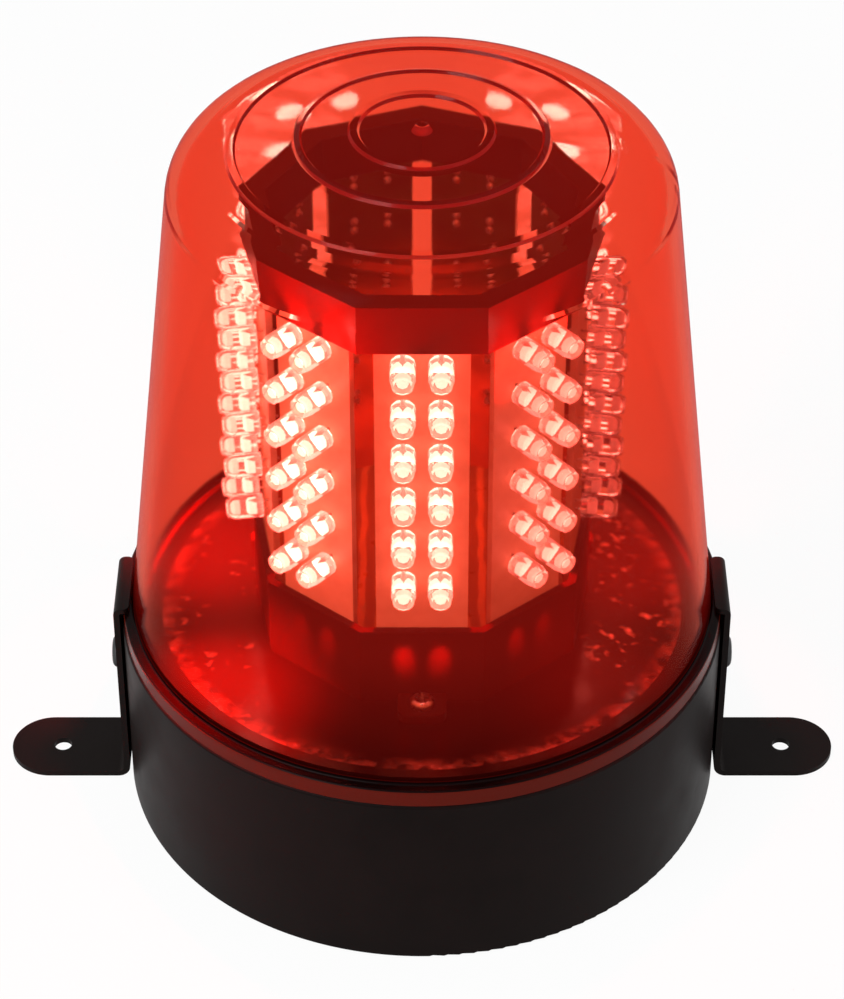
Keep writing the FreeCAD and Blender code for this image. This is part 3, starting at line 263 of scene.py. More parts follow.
def away_from(tree, heart, spread=(1.0, 1.0, 1.0)):
    """How far a face looks away from a point, or from an upright axis with ACROSS: 1 away, -1 towards."""
    geometry = tree.nodes.new("ShaderNodeNewGeometry")
    offset = vector_node(tree, "SUBTRACT", place(tree), heart)
    across = vector_node(tree, "MULTIPLY", offset.outputs["Vector"], spread)
    unit = vector_node(tree, "NORMALIZE", across.outputs["Vector"])
    turned = tree.nodes.new("ShaderNodeVectorTransform")
    turned.vector_type = "NORMAL"
    turned.convert_from = "WORLD"
    turned.convert_to = "OBJECT"
    tree.links.new(geometry.outputs["True Normal"], turned.inputs["Vector"])
    dot = vector_node(tree, "DOT_PRODUCT", unit.outputs["Vector"], turned.outputs["Vector"])
    turned_round = math_node(tree, "MULTIPLY", geometry.outputs["Backfacing"], -2.0)
    sign = math_node(tree, "ADD", turned_round, 1.0)
    return math_node(tree, "MULTIPLY", dot.outputs["Value"], sign)


def blend_colour(tree, factor, first, second):
    """Two colours, or colour sockets, mixed by a factor."""
    made = tree.nodes.new("ShaderNodeMix")
    made.data_type = "RGBA"
    tree.links.new(factor, made.inputs["Factor"])
    for socket, value in ((made.inputs["A"], first), (made.inputs["B"], second)):
        if isinstance(value, bpy.types.NodeSocket):
            tree.links.new(value, socket)
        else:
            socket.default_value = (*value, 1.0)
    return made.outputs["Result"]


def emboss(tree, shader, height, depth, strength=0.5):
    """Turns a height pattern into a bump of that depth on the shader."""
    bump = add(tree, "ShaderNodeBump", Strength=strength, Distance=depth)
    tree.links.new(height, bump.inputs["Height"])
    tree.links.new(bump.outputs["Normal"], shader.inputs["Normal"])


def shaded(base, factor):
    """A colour made lighter or darker."""
    return tuple(min(1.0, channel * factor) for channel in base)


def moulded(name, base, rough, grain=3200.0, specular=0.3):
    """Moulded plastic: soft blotches of tone, a sheen that varies with them and a fine spark grain."""
    material, tree, shader = new_finish(name)
    where = place(tree)
    blotch = noise(tree, where, 60.0, 5.0)
    fine = noise(tree, where, grain, 2.0)
    tone = blend_colour(tree, between(tree, blotch, 0.0, 1.0), shaded(base, 0.8), shaded(base, 1.2))
    tree.links.new(tone, shader.inputs["Base Color"])
    tree.links.new(between(tree, blotch, rough - 0.05, rough + 0.07), shader.inputs["Roughness"])
    shader.inputs["Specular IOR Level"].default_value = specular
    emboss(tree, shader, fine, 0.012 * MM, 0.06)
    return material


def metal(name, base, rough, grain=900.0, depth=0.02 * MM):
    """Plated or tinned metal: clouded tone, a finely broken sheen and a slight unevenness."""
    material, tree, shader = new_finish(name)
    where = place(tree)
    cloud = noise(tree, where, 220.0, 4.0)
    fine = noise(tree, where, grain, 3.0)
    tone = blend_colour(tree, between(tree, cloud, 0.0, 1.0), shaded(base, 0.7), shaded(base, 1.15))
    tree.links.new(tone, shader.inputs["Base Color"])
    tree.links.new(between(tree, fine, rough - 0.08, rough + 0.12), shader.inputs["Roughness"])
    shader.inputs["Metallic"].default_value = 1.0
    emboss(tree, shader, fine, depth, 0.3)
    return material


def mix_shaders(tree, factor, first, second):
    """The output of two shaders mixed by a factor."""
    mixed = tree.nodes.new("ShaderNodeMixShader")
    tree.links.new(factor, mixed.inputs["Fac"])
    tree.links.new(first, mixed.inputs[1])
    tree.links.new(second, mixed.inputs[2])
    return mixed.outputs["Shader"]


def deck_specks(tree, look, where, out):
    """The brightness of painted specks of light in clumps, on both sides of the deck and inside its edge.
    """
    aside = math_node(tree, "ABSOLUTE", parts_of(tree, where)["X"])
    patch = between(tree, aside, 0.0, look.sparkle, look.sparkle_from, look.sparkle_from + 8.0 * MM)
    inner = between(tree, out, 1.0, 0.0, look.deck_edge - 4.0 * MM, look.deck_edge)
    clumps = between(tree, noise(tree, where, CLUMP_WAVES, 2.0), 0.0, 1.0, 0.45, 0.65)
    points = between(tree, noise(tree, where, SPECK_WAVES, 1.0), 0.0, 1.0, 0.58, 0.82)
    shape = math_node(tree, "MULTIPLY", patch, inner)
    return math_node(tree, "MULTIPLY", math_node(tree, "MULTIPLY", shape, clumps), points)


def polish_deck(material, look):
    """Gives the deck inside the lens a rippled polish, a painted glint on a bead near its edge, painted
    specks of light and a painted shade at its border.
    """
    tree = material.node_tree
    where = place(tree)
    plain = tree.nodes["Principled BSDF"]
    shine = add(tree, "ShaderNodeBsdfPrincipled", Roughness=look.polish, Specular_IOR_Level=0.3)
    ripple = noise(tree, where, RIPPLE_WAVES, 3.0)
    out = radius_of(tree, where)
    edge = look.deck_edge
    # Painted shade: the deck's colour darkens to 0.4 beyond deck_edge, towards its border.
    border = between(tree, out, 0.0, 1.0, edge - 2.0 * MM, edge + 5.0 * MM)
    tone = blend_colour(tree, border, look.plastic, shaded(look.plastic, 0.4))
    # Painted glint: a broken ring inside the edge gets a three times lighter colour and light of its own.
    rise = between(tree, out, 0.0, 1.0, edge - 4.0 * MM, edge)
    broken = math_node(tree, "MULTIPLY", rise, between(tree, ripple, 0.0, 1.0, 0.4, 0.7))
    bead = math_node(tree, "MULTIPLY", broken, math_node(tree, "LESS_THAN", out, edge + 0.5 * MM))
    tree.links.new(blend_colour(tree, bead, tone, shaded(look.plastic, 3.0)), shine.inputs["Base Color"])
    # The bead's light and the specks are painted light that the deck gives off itself.
    bead_light = math_node(tree, "MULTIPLY", bead, look.edge_light)
    light = math_node(tree, "ADD", deck_specks(tree, look, where, out), bead_light)
    tree.links.new(light, shine.inputs["Emission Strength"])
    shine.inputs["Emission Color"].default_value = (*look.caught, 1.0)
    emboss(tree, shine, ripple, 0.2 * MM, 0.5)
    above = math_node(tree, "GREATER_THAN", height_of(tree, where), look.deck)
    surface = mix_shaders(tree, above, plain.outputs["BSDF"], shine.outputs["BSDF"])
    tree.links.new(surface, tree.nodes["Material Output"].inputs["Surface"])
    material.cycles.emission_sampling = "NONE"
    return material


def lamps_pass(tree, surface, tint):
    """Lets light from lamps through a clear surface, tinted, so that it reaches what is inside."""
    path = tree.nodes.new("ShaderNodeLightPath")
    open_way = add(tree, "ShaderNodeBsdfTransparent", Color=(*tint, 1.0))
    whole = mix_shaders(tree, path.outputs["Is Shadow Ray"], surface, open_way.outputs["BSDF"])
    tree.links.new(whole, tree.nodes["Material Output"].inputs["Surface"])


def dull_share(tree, look, height):
    """How much of the lens mirrors nothing: nearly all of it head on, less on the flanks of the ribs."""
    mirror = add(tree, "ShaderNodeFresnel", IOR=look.bend)
    within = between(tree, mirror.outputs["Fac"], look.dull, 0.0, 0.1, 0.5)
    without = between(tree, mirror.outputs["Fac"], look.dull, look.edge, 0.1, 0.5)
    outside = math_node(tree, "GREATER_THAN", away_from(tree, LENS_HEART), 0.0)
    geometry = tree.nodes.new("ShaderNodeNewGeometry")
    behind = geometry.outputs["Backfacing"]
    front = math_node(tree, "SUBTRACT", outside, behind, clamp=True)
    steep = math_node(tree, "LESS_THAN", height_of(tree, geometry.outputs["True Normal"]), 0.95)
    high = math_node(tree, "GREATER_THAN", height, look.ribs_from)
    flank = math_node(tree, "MULTIPLY", steep, high)
    smooth = math_node(tree, "MULTIPLY", without, between(tree, flank, 1.0, 1.0 - look.glint, 0.0, 1.0))
    from_outside = math_node(tree, "MULTIPLY", front, smooth)
    from_inside = math_node(tree, "MULTIPLY", behind, within)
    return math_node(tree, "MAXIMUM", from_outside, from_inside)


def lens_foot(tree, look, height):
    """The flange at the lens's foot, opaque, with a dark line of painted shade above it."""
    foot = add(tree, "ShaderNodeBsdfPrincipled", Roughness=0.25, Specular_IOR_Level=0.04)
    # Painted shade: above the flange's top the colour turns near black, up to foot_line.
    line = math_node(tree, "GREATER_THAN", height, look.foot_top)
    tree.links.new(blend_colour(tree, line, look.foot, (0.004, 0.001, 0.001)), foot.inputs["Base Color"])
    return foot.outputs["BSDF"]


def lens_glow(tree, look, height, above):
    """The light that the lens takes from inside, weaker towards its foot."""
    # Painted light: the lens gives off this glow itself.
    glow = add(tree, "ShaderNodeEmission", Color=(*look.glow, 1.0))
    low = look.glow_power * look.glow_low
    rising = between(tree, height, low, look.glow_power, look.foot_line, look.foot_line + look.glow_rise)
    tree.links.new(math_node(tree, "MULTIPLY", above, rising), glow.inputs["Strength"])
    return glow.outputs["Emission"]


def lens_plastic(look):
    """Clear red lens plastic with a faint flow pattern in its polish."""
    material, tree, shader = new_finish("red_lens_plastic")
    where = place(tree)
    flow = noise(tree, where, 25.0, 2.0)
    tint = tuple(look.tint)
    tone = blend_colour(tree, between(tree, flow, 0.0, 1.0), shaded(tint, 0.97), shaded(tint, 1.03))
    tree.links.new(tone, shader.inputs["Base Color"])
    shader.inputs["Transmission Weight"].default_value = 1.0
    shader.inputs["IOR"].default_value = look.bend
    tree.links.new(between(tree, flow, look.haze * 0.5, look.haze * 1.5), shader.inputs["Roughness"])
    emboss(tree, shader, flow, 0.02 * MM, 0.2)
    root = tuple(math.sqrt(channel) for channel in tint)
    dull = add(tree, "ShaderNodeBsdfRefraction", Color=(*root, 1.0), IOR=look.bend, Roughness=look.haze)
    height = height_of(tree, where)
    clear = mix_shaders(tree, dull_share(tree, look, height), shader.outputs["BSDF"], dull.outputs["BSDF"])
    above = math_node(tree, "GREATER_THAN", height, look.foot_line)
    whole = mix_shaders(tree, above, lens_foot(tree, look, height), clear)
    surface = tree.nodes.new("ShaderNodeAddShader")
    tree.links.new(whole, surface.inputs[0])
    tree.links.new(lens_glow(tree, look, height, above), surface.inputs[1])
    lamps_pass(tree, surface.outputs["Shader"], root)
    depth = add(tree, "ShaderNodeVolumeAbsorption", Color=(*look.depth, 1.0), Density=look.density)
    tree.links.new(depth.outputs["Volume"], tree.nodes["Material Output"].inputs["Volume"])
    material.cycles.emission_sampling = "NONE"
    return material


def mirrored_tips(tree, look, where, out):
    """1 for mirrored rays from afar that meet the tip of an LED in the upper rows."""
    path = tree.nodes.new("ShaderNodeLightPath")
    from_afar = math_node(tree, "GREATER_THAN", path.outputs["Ray Length"], look.mirror_range)
    bounced = math_node(
        tree, "SUBTRACT", path.outputs["Is Glossy Ray"], path.outputs["Is Transmission Ray"], clamp=True
    )
    mirrored = math_node(tree, "MULTIPLY", bounced, from_afar)
    high = math_node(tree, "GREATER_THAN", height_of(tree, where), look.mirror_from)
    tip_from = look.seat + look.body_length - look.body_radius * 0.06
    tip = math_node(tree, "GREATER_THAN", out, tip_from)
    return math_node(tree, "MULTIPLY", mirrored, math_node(tree, "MULTIPLY", tip, high))


def clear_epoxy(name, look, level):
    """Water-clear cast epoxy with faint swirls, filled with the light of its chip."""
    material, tree, shader = new_finish(name)
    where = place(tree)
    out = radius_of(tree, where)
    rim_top = look.seat + look.flange_height
    # Painted light: the clear body and its rim give off a glow that stands for the chip's light.
    own = between(tree, out, look.rim * level, look.bloom * level, rim_top, rim_top + 0.4 * MM)
    # Painted reflection: the tips give off far more light in mirrored rays from afar, so the crown shows
    # them.
    flashing = mirrored_tips(tree, look, where, out)
    flash = math_node(tree, "MULTIPLY", flashing, look.mirror)
    tree.links.new(math_node(tree, "ADD", own, flash), shader.inputs["Emission Strength"])
    tree.links.new(blend_colour(tree, flashing, look.light, look.flash), shader.inputs["Emission Color"])
    swirl = noise(tree, where, 300.0, 2.0)
    tone = blend_colour(tree, swirl, (0.93, 0.93, 0.94), (1.0, 1.0, 1.0))
    tree.links.new(tone, shader.inputs["Base Color"])
    tree.links.new(between(tree, swirl, 0.02, 0.06), shader.inputs["Roughness"])
    shader.inputs["Transmission Weight"].default_value = 1.0
    shader.inputs["IOR"].default_value = 1.5
    lamps_pass(tree, shader.outputs["BSDF"], (0.97, 0.97, 0.97))
    return material


def light_chip(name, look, power):
    """The chip and its cup, or the chip's painted image under the dome: white hot where it is lit, a little
    uneven and brightest straight outward.
    """
    material, tree, shader = new_finish(name)
    where = place(tree)
    grain = noise(tree, where, 1200.0, 2.0)
    tone = blend_colour(tree, grain, shaded(look.light, 0.85), look.light)
    tree.links.new(tone, shader.inputs["Emission Color"])
    outward = away_from(tree, AXIS, ACROSS)
    strength = between(tree, outward, power * look.sideways, power, 0.2, 0.7)
    tree.links.new(strength, shader.inputs["Emission Strength"])
    shader.inputs["Base Color"].default_value = (0.8, 0.7, 0.65, 1.0)
    shader.inputs["Roughness"].default_value = 0.5
    return material


def led_laminate(name, look, level):
    """Paper laminate, finely fibrous: buff in front and blotched mask behind, with a painted glow on the
    front where its LEDs light it.
    """
    material, tree, shader = new_finish(name)
    where = place(tree)
    side = away_from(tree, AXIS, ACROSS)
    fibre = noise(tree, where, 1800.0, 3.0)
    cloud = noise(tree, where, 130.0, 4.0)
    buff = blend_colour(tree, between(tree, cloud, 0.0, 1.0), (0.36, 0.27, 0.18), (0.46, 0.37, 0.26))
    mask = blend_colour(tree, between(tree, cloud, 0.0, 1.0), (0.010, 0.040, 0.016), (0.022, 0.075, 0.030))
    behind = math_node(tree, "LESS_THAN", side, -0.5)
    tree.links.new(blend_colour(tree, behind, buff, mask), shader.inputs["Base Color"])
    tree.links.new(between(tree, cloud, 0.35, 0.55), shader.inputs["Roughness"])
    emboss(tree, shader, fibre, 0.03 * MM, 0.3)
    # Painted light: the front gives off a glow that stands for the light of its LEDs.
    front_glow = between(tree, side, 0.0, look.front_glow_power * level, 0.5, 0.9)
    tree.links.new(front_glow, shader.inputs["Emission Strength"])
    shader.inputs["Emission Color"].default_value = (*look.front_glow, 1.0)
    return material


def green_laminate():
    """Glass laminate under green solder mask, with lines of copper showing as lighter bands."""
    material, tree, shader = new_finish("green_board_laminate")
    where = place(tree)
    cloud = noise(tree, where, 160.0, 3.0)
    lines = tree.nodes.new("ShaderNodeTexWave")
    lines.inputs["Scale"].default_value = 75.0
    lines.inputs["Distortion"].default_value = 2.0
    tree.links.new(where, lines.inputs["Vector"])
    copper = between(tree, lines.outputs["Fac"], 0.0, 1.0, 0.6, 0.7)
    mask = blend_colour(tree, copper, (0.008, 0.060, 0.022), (0.020, 0.130, 0.045))
    worn = blend_colour(tree, between(tree, cloud, 0.0, 0.35), mask, (0.006, 0.045, 0.016))
    tree.links.new(worn, shader.inputs["Base Color"])
    tree.links.new(between(tree, cloud, 0.25, 0.42), shader.inputs["Roughness"])
    emboss(tree, shader, lines.outputs["Fac"], 0.03 * MM, 0.4)
    return material


def coated_steel(look):
    """Black coated steel: the coating's orange peel, and faint scuffs where it has been handled."""
    material, tree, shader = new_finish("coated_steel")
    where = place(tree)
    peel = noise(tree, where, 1100.0, 2.0)
    scuff = noise(tree, where, 140.0, 6.0, 0.7)
    marks = between(tree, scuff, 0.0, 1.0, 0.62, 0.75)
    base = tuple(look.steel)
    tree.links.new(blend_colour(tree, marks, base, shaded(base, 1.9)), shader.inputs["Base Color"])
    tree.links.new(between(tree, scuff, 0.36, 0.5), shader.inputs["Roughness"])
    shader.inputs["Specular IOR Level"].default_value = 0.05
    emboss(tree, shader, peel, 0.03 * MM, 0.25)
    return material


def dress(material, *names):
    """Gives CAD nodes a finish."""
    for name in names:
        mesh = NODES[name].data
        if not mesh.materials:
            mesh.materials.append(material)
        for index in range(len(mesh.materials)):
            mesh.materials[index] = material


def free_hands():
    """Object mode with nothing selected."""
    if bpy.context.object is not None and bpy.context.object.mode != "OBJECT":
        bpy.ops.object.mode_set(mode="OBJECT")
    bpy.ops.object.select_all(action="DESELECT")


def pick_faces(test):
    """Selects, in edit mode, the faces of the active mesh whose centre and normal pass the test."""
    mesh = bpy.context.object.data
    bpy.ops.mesh.select_mode(type="FACE")
    bpy.ops.mesh.select_all(action="DESELECT")
    faces = bmesh.from_edit_mesh(mesh).faces
    for face in faces:
        face.select_set(test(face.calc_center_median(), face.normal))
    bmesh.update_edit_mesh(mesh)


def facing_up(height):
    """A test for faces that look up at about that height."""
    return lambda centre, normal: normal.z > 0.7 and abs(centre.z - height) < 0.05 * MM


def start_post(sides, radius, bottom, top, across=(0.0, 0.0)):
    """A new upright prism, in edit mode, with nothing else selected."""
    free_hands()
    bpy.ops.mesh.primitive_cylinder_add(
        vertices=sides, radius=radius, depth=top - bottom, location=(*across, (bottom + top) / 2)
    )
    bpy.ops.object.transform_apply(location=True, rotation=True, scale=True)
    bpy.ops.object.mode_set(mode="EDIT")
    return bpy.context.object


def raise_top(height, lift):
    """Pulls up the faces that look up at that height."""
    pick_faces(facing_up(height))
    bpy.ops.mesh.extrude_region_move(TRANSFORM_OT_translate={"value": (0.0, 0.0, lift)})


def narrow_top(height, inset, lift):
    """Steps in the faces that look up at that height, and lifts them."""
    pick_faces(facing_up(height))
    bpy.ops.mesh.inset(thickness=inset, depth=lift)


def end_shape(piece, name, material, angle=50.0):
    """Closes edit mode and gives the shape its name, finish and smooth shading."""
    bpy.ops.object.mode_set(mode="OBJECT")
    bpy.ops.object.shade_smooth_by_angle(angle=math.radians(angle))
    piece.name = name
    piece.data.materials.append(material)
    return piece


def led_shell(look, epoxy):
    """The clear body: a rim, a straight shank and a dome in three steps, with the flat on the rim."""
    sides = 12
    shell = start_post(sides, look.flange_radius, 0.0, look.flange_height)
    tight = math.cos(math.pi / sides)
    narrow_top(look.flange_height, (look.flange_radius - look.body_radius) * tight, 0.0)
    spring = look.body_length - look.body_radius
    raise_top(look.flange_height, spring - look.flange_height)
    height, radius = spring, look.body_radius
    for degrees in (28, 54, 76):
        new_height = spring + look.body_radius * math.sin(math.radians(degrees))
        new_radius = look.body_radius * math.cos(math.radians(degrees))
        narrow_top(height, (radius - new_radius) * tight, new_height - height)
        height, radius = new_height, new_radius
    bpy.ops.mesh.select_all(action="SELECT")
    bpy.ops.mesh.bisect(
        plane_co=(0.0, -look.body_radius * 1.02, 0.0),
        plane_no=(0.0, -1.0, 0.0),
        use_fill=True,
        clear_outer=True,
    )
    return end_shape(shell, "led_shell", epoxy)


def led_frame(look, tin):
    """The two leads, which widen inside the body and lean towards each other."""
    shapes = []
    half = look.lead_pitch / 2
    neck = 0.4 * MM
    shoulder = 1.4 * MM
    post = 2.0 * MM
    lean = 0.45 * MM
    for side in (-1, 1):
        lead = start_post(4, look.lead_width * 0.7, -look.lead_drop, neck, (0.0, side * half))
        raise_top(neck, shoulder - neck)
        bpy.ops.transform.resize(value=(1.5, 1.6, 1.0))
        raise_top(shoulder, post)
        bpy.ops.transform.translate(value=(0.0, -side * lean, 0.0))
        shapes.append(end_shape(lead, "led_lead", tin, 30.0))
    return shapes


def led_light(bottom, top, radius, material):
    """A bead of light inside the body, narrowed at its top."""
    bead = start_post(8, radius, bottom, top)
    narrow_top(top, radius * 0.3, radius * 0.4)
    return end_shape(bead, material.name, material)


def join_shapes(shapes, name):
    """One object from several."""
    free_hands()
    for shape in shapes:
        shape.select_set(True)
    bpy.context.view_layer.objects.active = shapes[0]
    bpy.ops.object.join()
    shapes[0].name = name
    shapes[0].data.name = name
    return shapes[0]


def copy_at(sample, matrix, name):
    """A copy of the sample with its own mesh, its place in the mesh."""
    made = bpy.data.objects.new(name, sample.data.copy())
    made.data.transform(matrix)
    bpy.context.scene.collection.objects.link(made)
    return made


def seat_matrix(look, board, column, row):
    """Where one LED sits: foot on its seat, axis outward, leads above each other."""
    turn = board * BOARD_STEP
    outward = Vector((math.sin(turn), -math.cos(turn), 0.0))
    along = Vector((math.cos(turn), math.sin(turn), 0.0))
    up = Vector((0.0, 0.0, 1.0))
    foot = outward * look.seat + along * look.column * column
    foot += up * (look.first_row + row * look.row_pitch)
    return Matrix(
        (
            (along.x, up.x, outward.x, foot.x),
            (along.y, up.y, outward.y, foot.y),
            (along.z, up.z, outward.z, foot.z),
            (0.0, 0.0, 0.0, 1.0),
        )
    )


def fill_boards(look, sample, prefix):
    """Copies of the sample at every LED's place, joined board by board."""
    groups = []
    for board in range(BOARD_COUNT):
        copies = []
        for column in (-1, 1):
            for row in range(look.rows):
                matrix = seat_matrix(look, board, column, row)
                copies.append(copy_at(sample, matrix, f"{prefix}_copy"))
        groups.append(join_shapes(copies, f"{prefix}_{board + 1}"))
    bpy.data.objects.remove(sample)
    return groups


def settle(piece):
    """Rides on the one rigid body."""
    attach(piece, "root")


class BEACON_OT_lens_cover(bpy.types.Operator):
    """Give the lens cover its clear red plastic and the seal its rubber"""

    bl_idname = "beacon.lens_cover"
    bl_label = "Lens cover"

    def execute(self, context):
        dress(lens_plastic(context.scene.beacon_lens), "lens_cover")
        dress(moulded("seal_rubber", (0.012, 0.012, 0.012), 0.7, 1500.0), "lens_gasket")
        return {"FINISHED"}


class BEACON_OT_led_groups(bpy.types.Operator):
    """Model one LED and set twelve of it on each of the nine boards"""

    bl_idname = "beacon.led_groups"
    bl_label = "LEDs"

    def execute(self, context):
        look = context.scene.beacon_leds
        tin = metal("tinned_lead", (0.62, 0.61, 0.58), 0.3)
        epoxy, chip, image = self.finishes(look, 1.0)
        chip_span = (1.5 * MM, 3.2 * MM)
        # The second bead is painted light: it stands for the chip's image that the dome shows.
        image_span = (5.4 * MM, 6.6 * MM)
        lights = [
            led_light(*chip_span, look.chip_radius, chip),
            led_light(*image_span, look.image_radius, image),
        ]
        sample = join_shapes([led_shell(look, epoxy), *led_frame(look, tin), *lights], "led_sample")
        for number, group in enumerate(fill_boards(look, sample, "led_group"), 1):
            if number in BOARD_LEVELS:
                dimmed = dict(zip((epoxy, chip, image), self.finishes(look, BOARD_LEVELS[number])))
                for index, material in enumerate(group.data.materials):
                    group.data.materials[index] = dimmed.get(material, material)
            settle(group)
            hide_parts(f"leds_{number}")
        return {"FINISHED"}

    def finishes(self, look, level):
        """The epoxy, the chip and the chip's image at a level of brightness."""
        return (
            clear_epoxy("led_epoxy", look, level),
            light_chip("led_chip", look, look.power * level),
            light_chip("led_image", look, look.image * level),
        )


class BEACON_OT_solder_joints(bpy.types.Operator):
    """Model one solder joint and set it on each lead behind the boards"""

    bl_idname = "beacon.solder_joints"
    bl_label = "Solder joints"

    def execute(self, context):
        look = context.scene.beacon_leds
        solder = metal("solder", (0.66, 0.65, 0.62), 0.28, 700.0, 0.05 * MM)
        joints = []
        pad_radius = 1.05 * MM
        pad_top = 0.08 * MM
        waist = 0.30 * MM
        for side in (-1, 1):
            foot = (0.0, side * look.lead_pitch / 2)
            joint = start_post(8, pad_radius, 0.0, pad_top, foot)
            narrow_top(pad_top, 0.42 * MM, waist - pad_top)
            narrow_top(waist, 0.22 * MM, 0.55 * MM)
            joints.append(end_shape(joint, "solder_joint", solder))
        sample = join_shapes(joints, "solder_sample")
        sample.data.transform(Matrix.Rotation(math.pi, 4, "Y"))
        sample.data.transform(Matrix.Translation((0.0, 0.0, -look.board_drop)))
        for group in fill_boards(look, sample, "solder_joints"):
            settle(group)
        return {"FINISHED"}


class BEACON_OT_light_tower(bpy.types.Operator):
    """Finish the LED boards, the tower's ring and pedestal and the collector board"""

    bl_idname = "beacon.light_tower"
    bl_label = "Light tower"

    def execute(self, context):
        look = context.scene.beacon_leds
        lit = led_laminate("led_board_laminate", look, 1.0)
        for number in range(1, BOARD_COUNT + 1):
            laminate = lit
            if number in BOARD_LEVELS:
                laminate = led_laminate(f"led_board_laminate_{number}", look, BOARD_LEVELS[number])
            dress(laminate, f"led_board_{number}")
        dress(green_laminate(), "collector_board", "control_board")
        plastic = moulded("tower_plastic", (0.03, 0.012, 0.011), 0.4, 2000.0, specular=0.06)
        dress(plastic, "tower_pedestal", "tower_top_ring")
        dress(metal("zinc_plate", (0.60, 0.60, 0.58), 0.3), "pedestal_screws", "control_board_screws")
        return {"FINISHED"}


class BEACON_OT_housing(bpy.types.Operator):
    """Finish the base, its bottom cover and the cover's screws"""

    bl_idname = "beacon.housing"
    bl_label = "Housing"

    def execute(self, context):
        look = context.scene.beacon_housing
        black = moulded("black_housing", tuple(look.plastic), look.sheen, specular=0.035)
        dress(polish_deck(black, look), "base_housing")
        dress(moulded("black_cover", shaded(look.plastic, 1.2), 0.55, 1800.0, specular=0.2), "bottom_cover")
        dress(metal("blackened_steel", (0.05, 0.05, 0.052), 0.4), "cover_screws")
        return {"FINISHED"}


class BEACON_OT_brackets(bpy.types.Operator):
    """Finish the two brackets, their screws and their nuts"""

    bl_idname = "beacon.brackets"
    bl_label = "Brackets"

    def execute(self, context):
        dress(coated_steel(context.scene.beacon_housing), "bracket_right", "bracket_left")
        screws = metal("blackened_screw", (0.06, 0.06, 0.062), 0.38)
        dress(screws, "bracket_screw_right", "bracket_screw_left")
        dress(metal("zinc_nut", (0.58, 0.58, 0.56), 0.32), "bracket_nut_right", "bracket_nut_left")
        return {"FINISHED"}


class BEACON_OT_electrics(bpy.types.Operator):
    """Finish the supply socket, its leads and the parts on the control board"""

    bl_idname = "beacon.electrics"
    bl_label = "Electrics"

    def execute(self, context):
        finishes = {
            "socket_plastic": ((0.015, 0.015, 0.016), 0.4, ("power_socket",)),
            "red_insulation": ((0.45, 0.02, 0.015), 0.4, ("power_lead_positive",)),
            "black_insulation": ((0.015, 0.015, 0.015), 0.42, ("power_lead_negative",)),
            "terminal_plastic": ((0.03, 0.16, 0.06), 0.45, ("power_terminal",)),
            "capacitor_sleeve": ((0.02, 0.025, 0.05), 0.3, ("smoothing_capacitor",)),
            "chip_plastic": ((0.018, 0.018, 0.019), 0.5, ("driver_chips", "voltage_regulator")),
            "connector_plastic": (
                (0.02, 0.02, 0.022),
                0.45,
                ("ribbon_header_lower", "ribbon_header_upper", "ribbon_plug_lower", "ribbon_plug_upper"),
            ),
            "ribbon_insulation": ((0.38, 0.38, 0.37), 0.45, ("ribbon_cable",)),
        }
        for name, (base, rough, nodes) in finishes.items():
            dress(moulded(name, base, rough, specular=0.4), *nodes)
        dress(metal("plated_nut", (0.58, 0.58, 0.56), 0.3), "socket_nut")
        return {"FINISHED"}


def light_area(name, location, target, size, energy):
    """A square white lamp that looks at a point."""
    lamp = bpy.data.lights.new(name, "AREA")
    lamp.size = size
    lamp.energy = energy
    made = bpy.data.objects.new(name, lamp)
    made.location = location
    made.rotation_euler = (Vector(target) - Vector(location)).to_track_quat("-Z", "Y").to_euler()
    made.visible_camera = False
    made.visible_transmission = False
    bpy.context.scene.collection.objects.link(made)


def light_glow(name, spot, target, energy, angle, soft=6.0):
    """A red lamp inside the lens that looks at a point; both are given by turn, radius and height."""
    lamp = bpy.data.lights.new(name, "SPOT")
    lamp.energy = energy
    lamp.color = LAMP_RED
    lamp.spot_size = math.radians(angle)
    lamp.spot_blend = 1.0
    lamp.shadow_soft_size = soft * MM
    made = bpy.data.objects.new(name, lamp)
    ends = []
    for turn, radius, height in (spot, target):
        swing = math.radians(turn)
        ends.append(Vector((radius * math.sin(swing), -radius * math.cos(swing), height)) * MM)
    made.location = ends[0]
    made.rotation_euler = (ends[1] - ends[0]).to_track_quat("-Z", "Y").to_euler()
    made.visible_camera = False
    made.visible_glossy = False
    made.visible_transmission = False
    bpy.context.scene.collection.objects.link(made)


def seen_rays(tree):
    """1 for rays that show the surroundings: seen directly, mirrored or through the lens."""
    path = tree.nodes.new("ShaderNodeLightPath")
    direct = math_node(tree, "MAXIMUM", path.outputs["Is Camera Ray"], path.outputs["Is Glossy Ray"])
    return math_node(tree, "MAXIMUM", direct, path.outputs["Is Transmission Ray"])


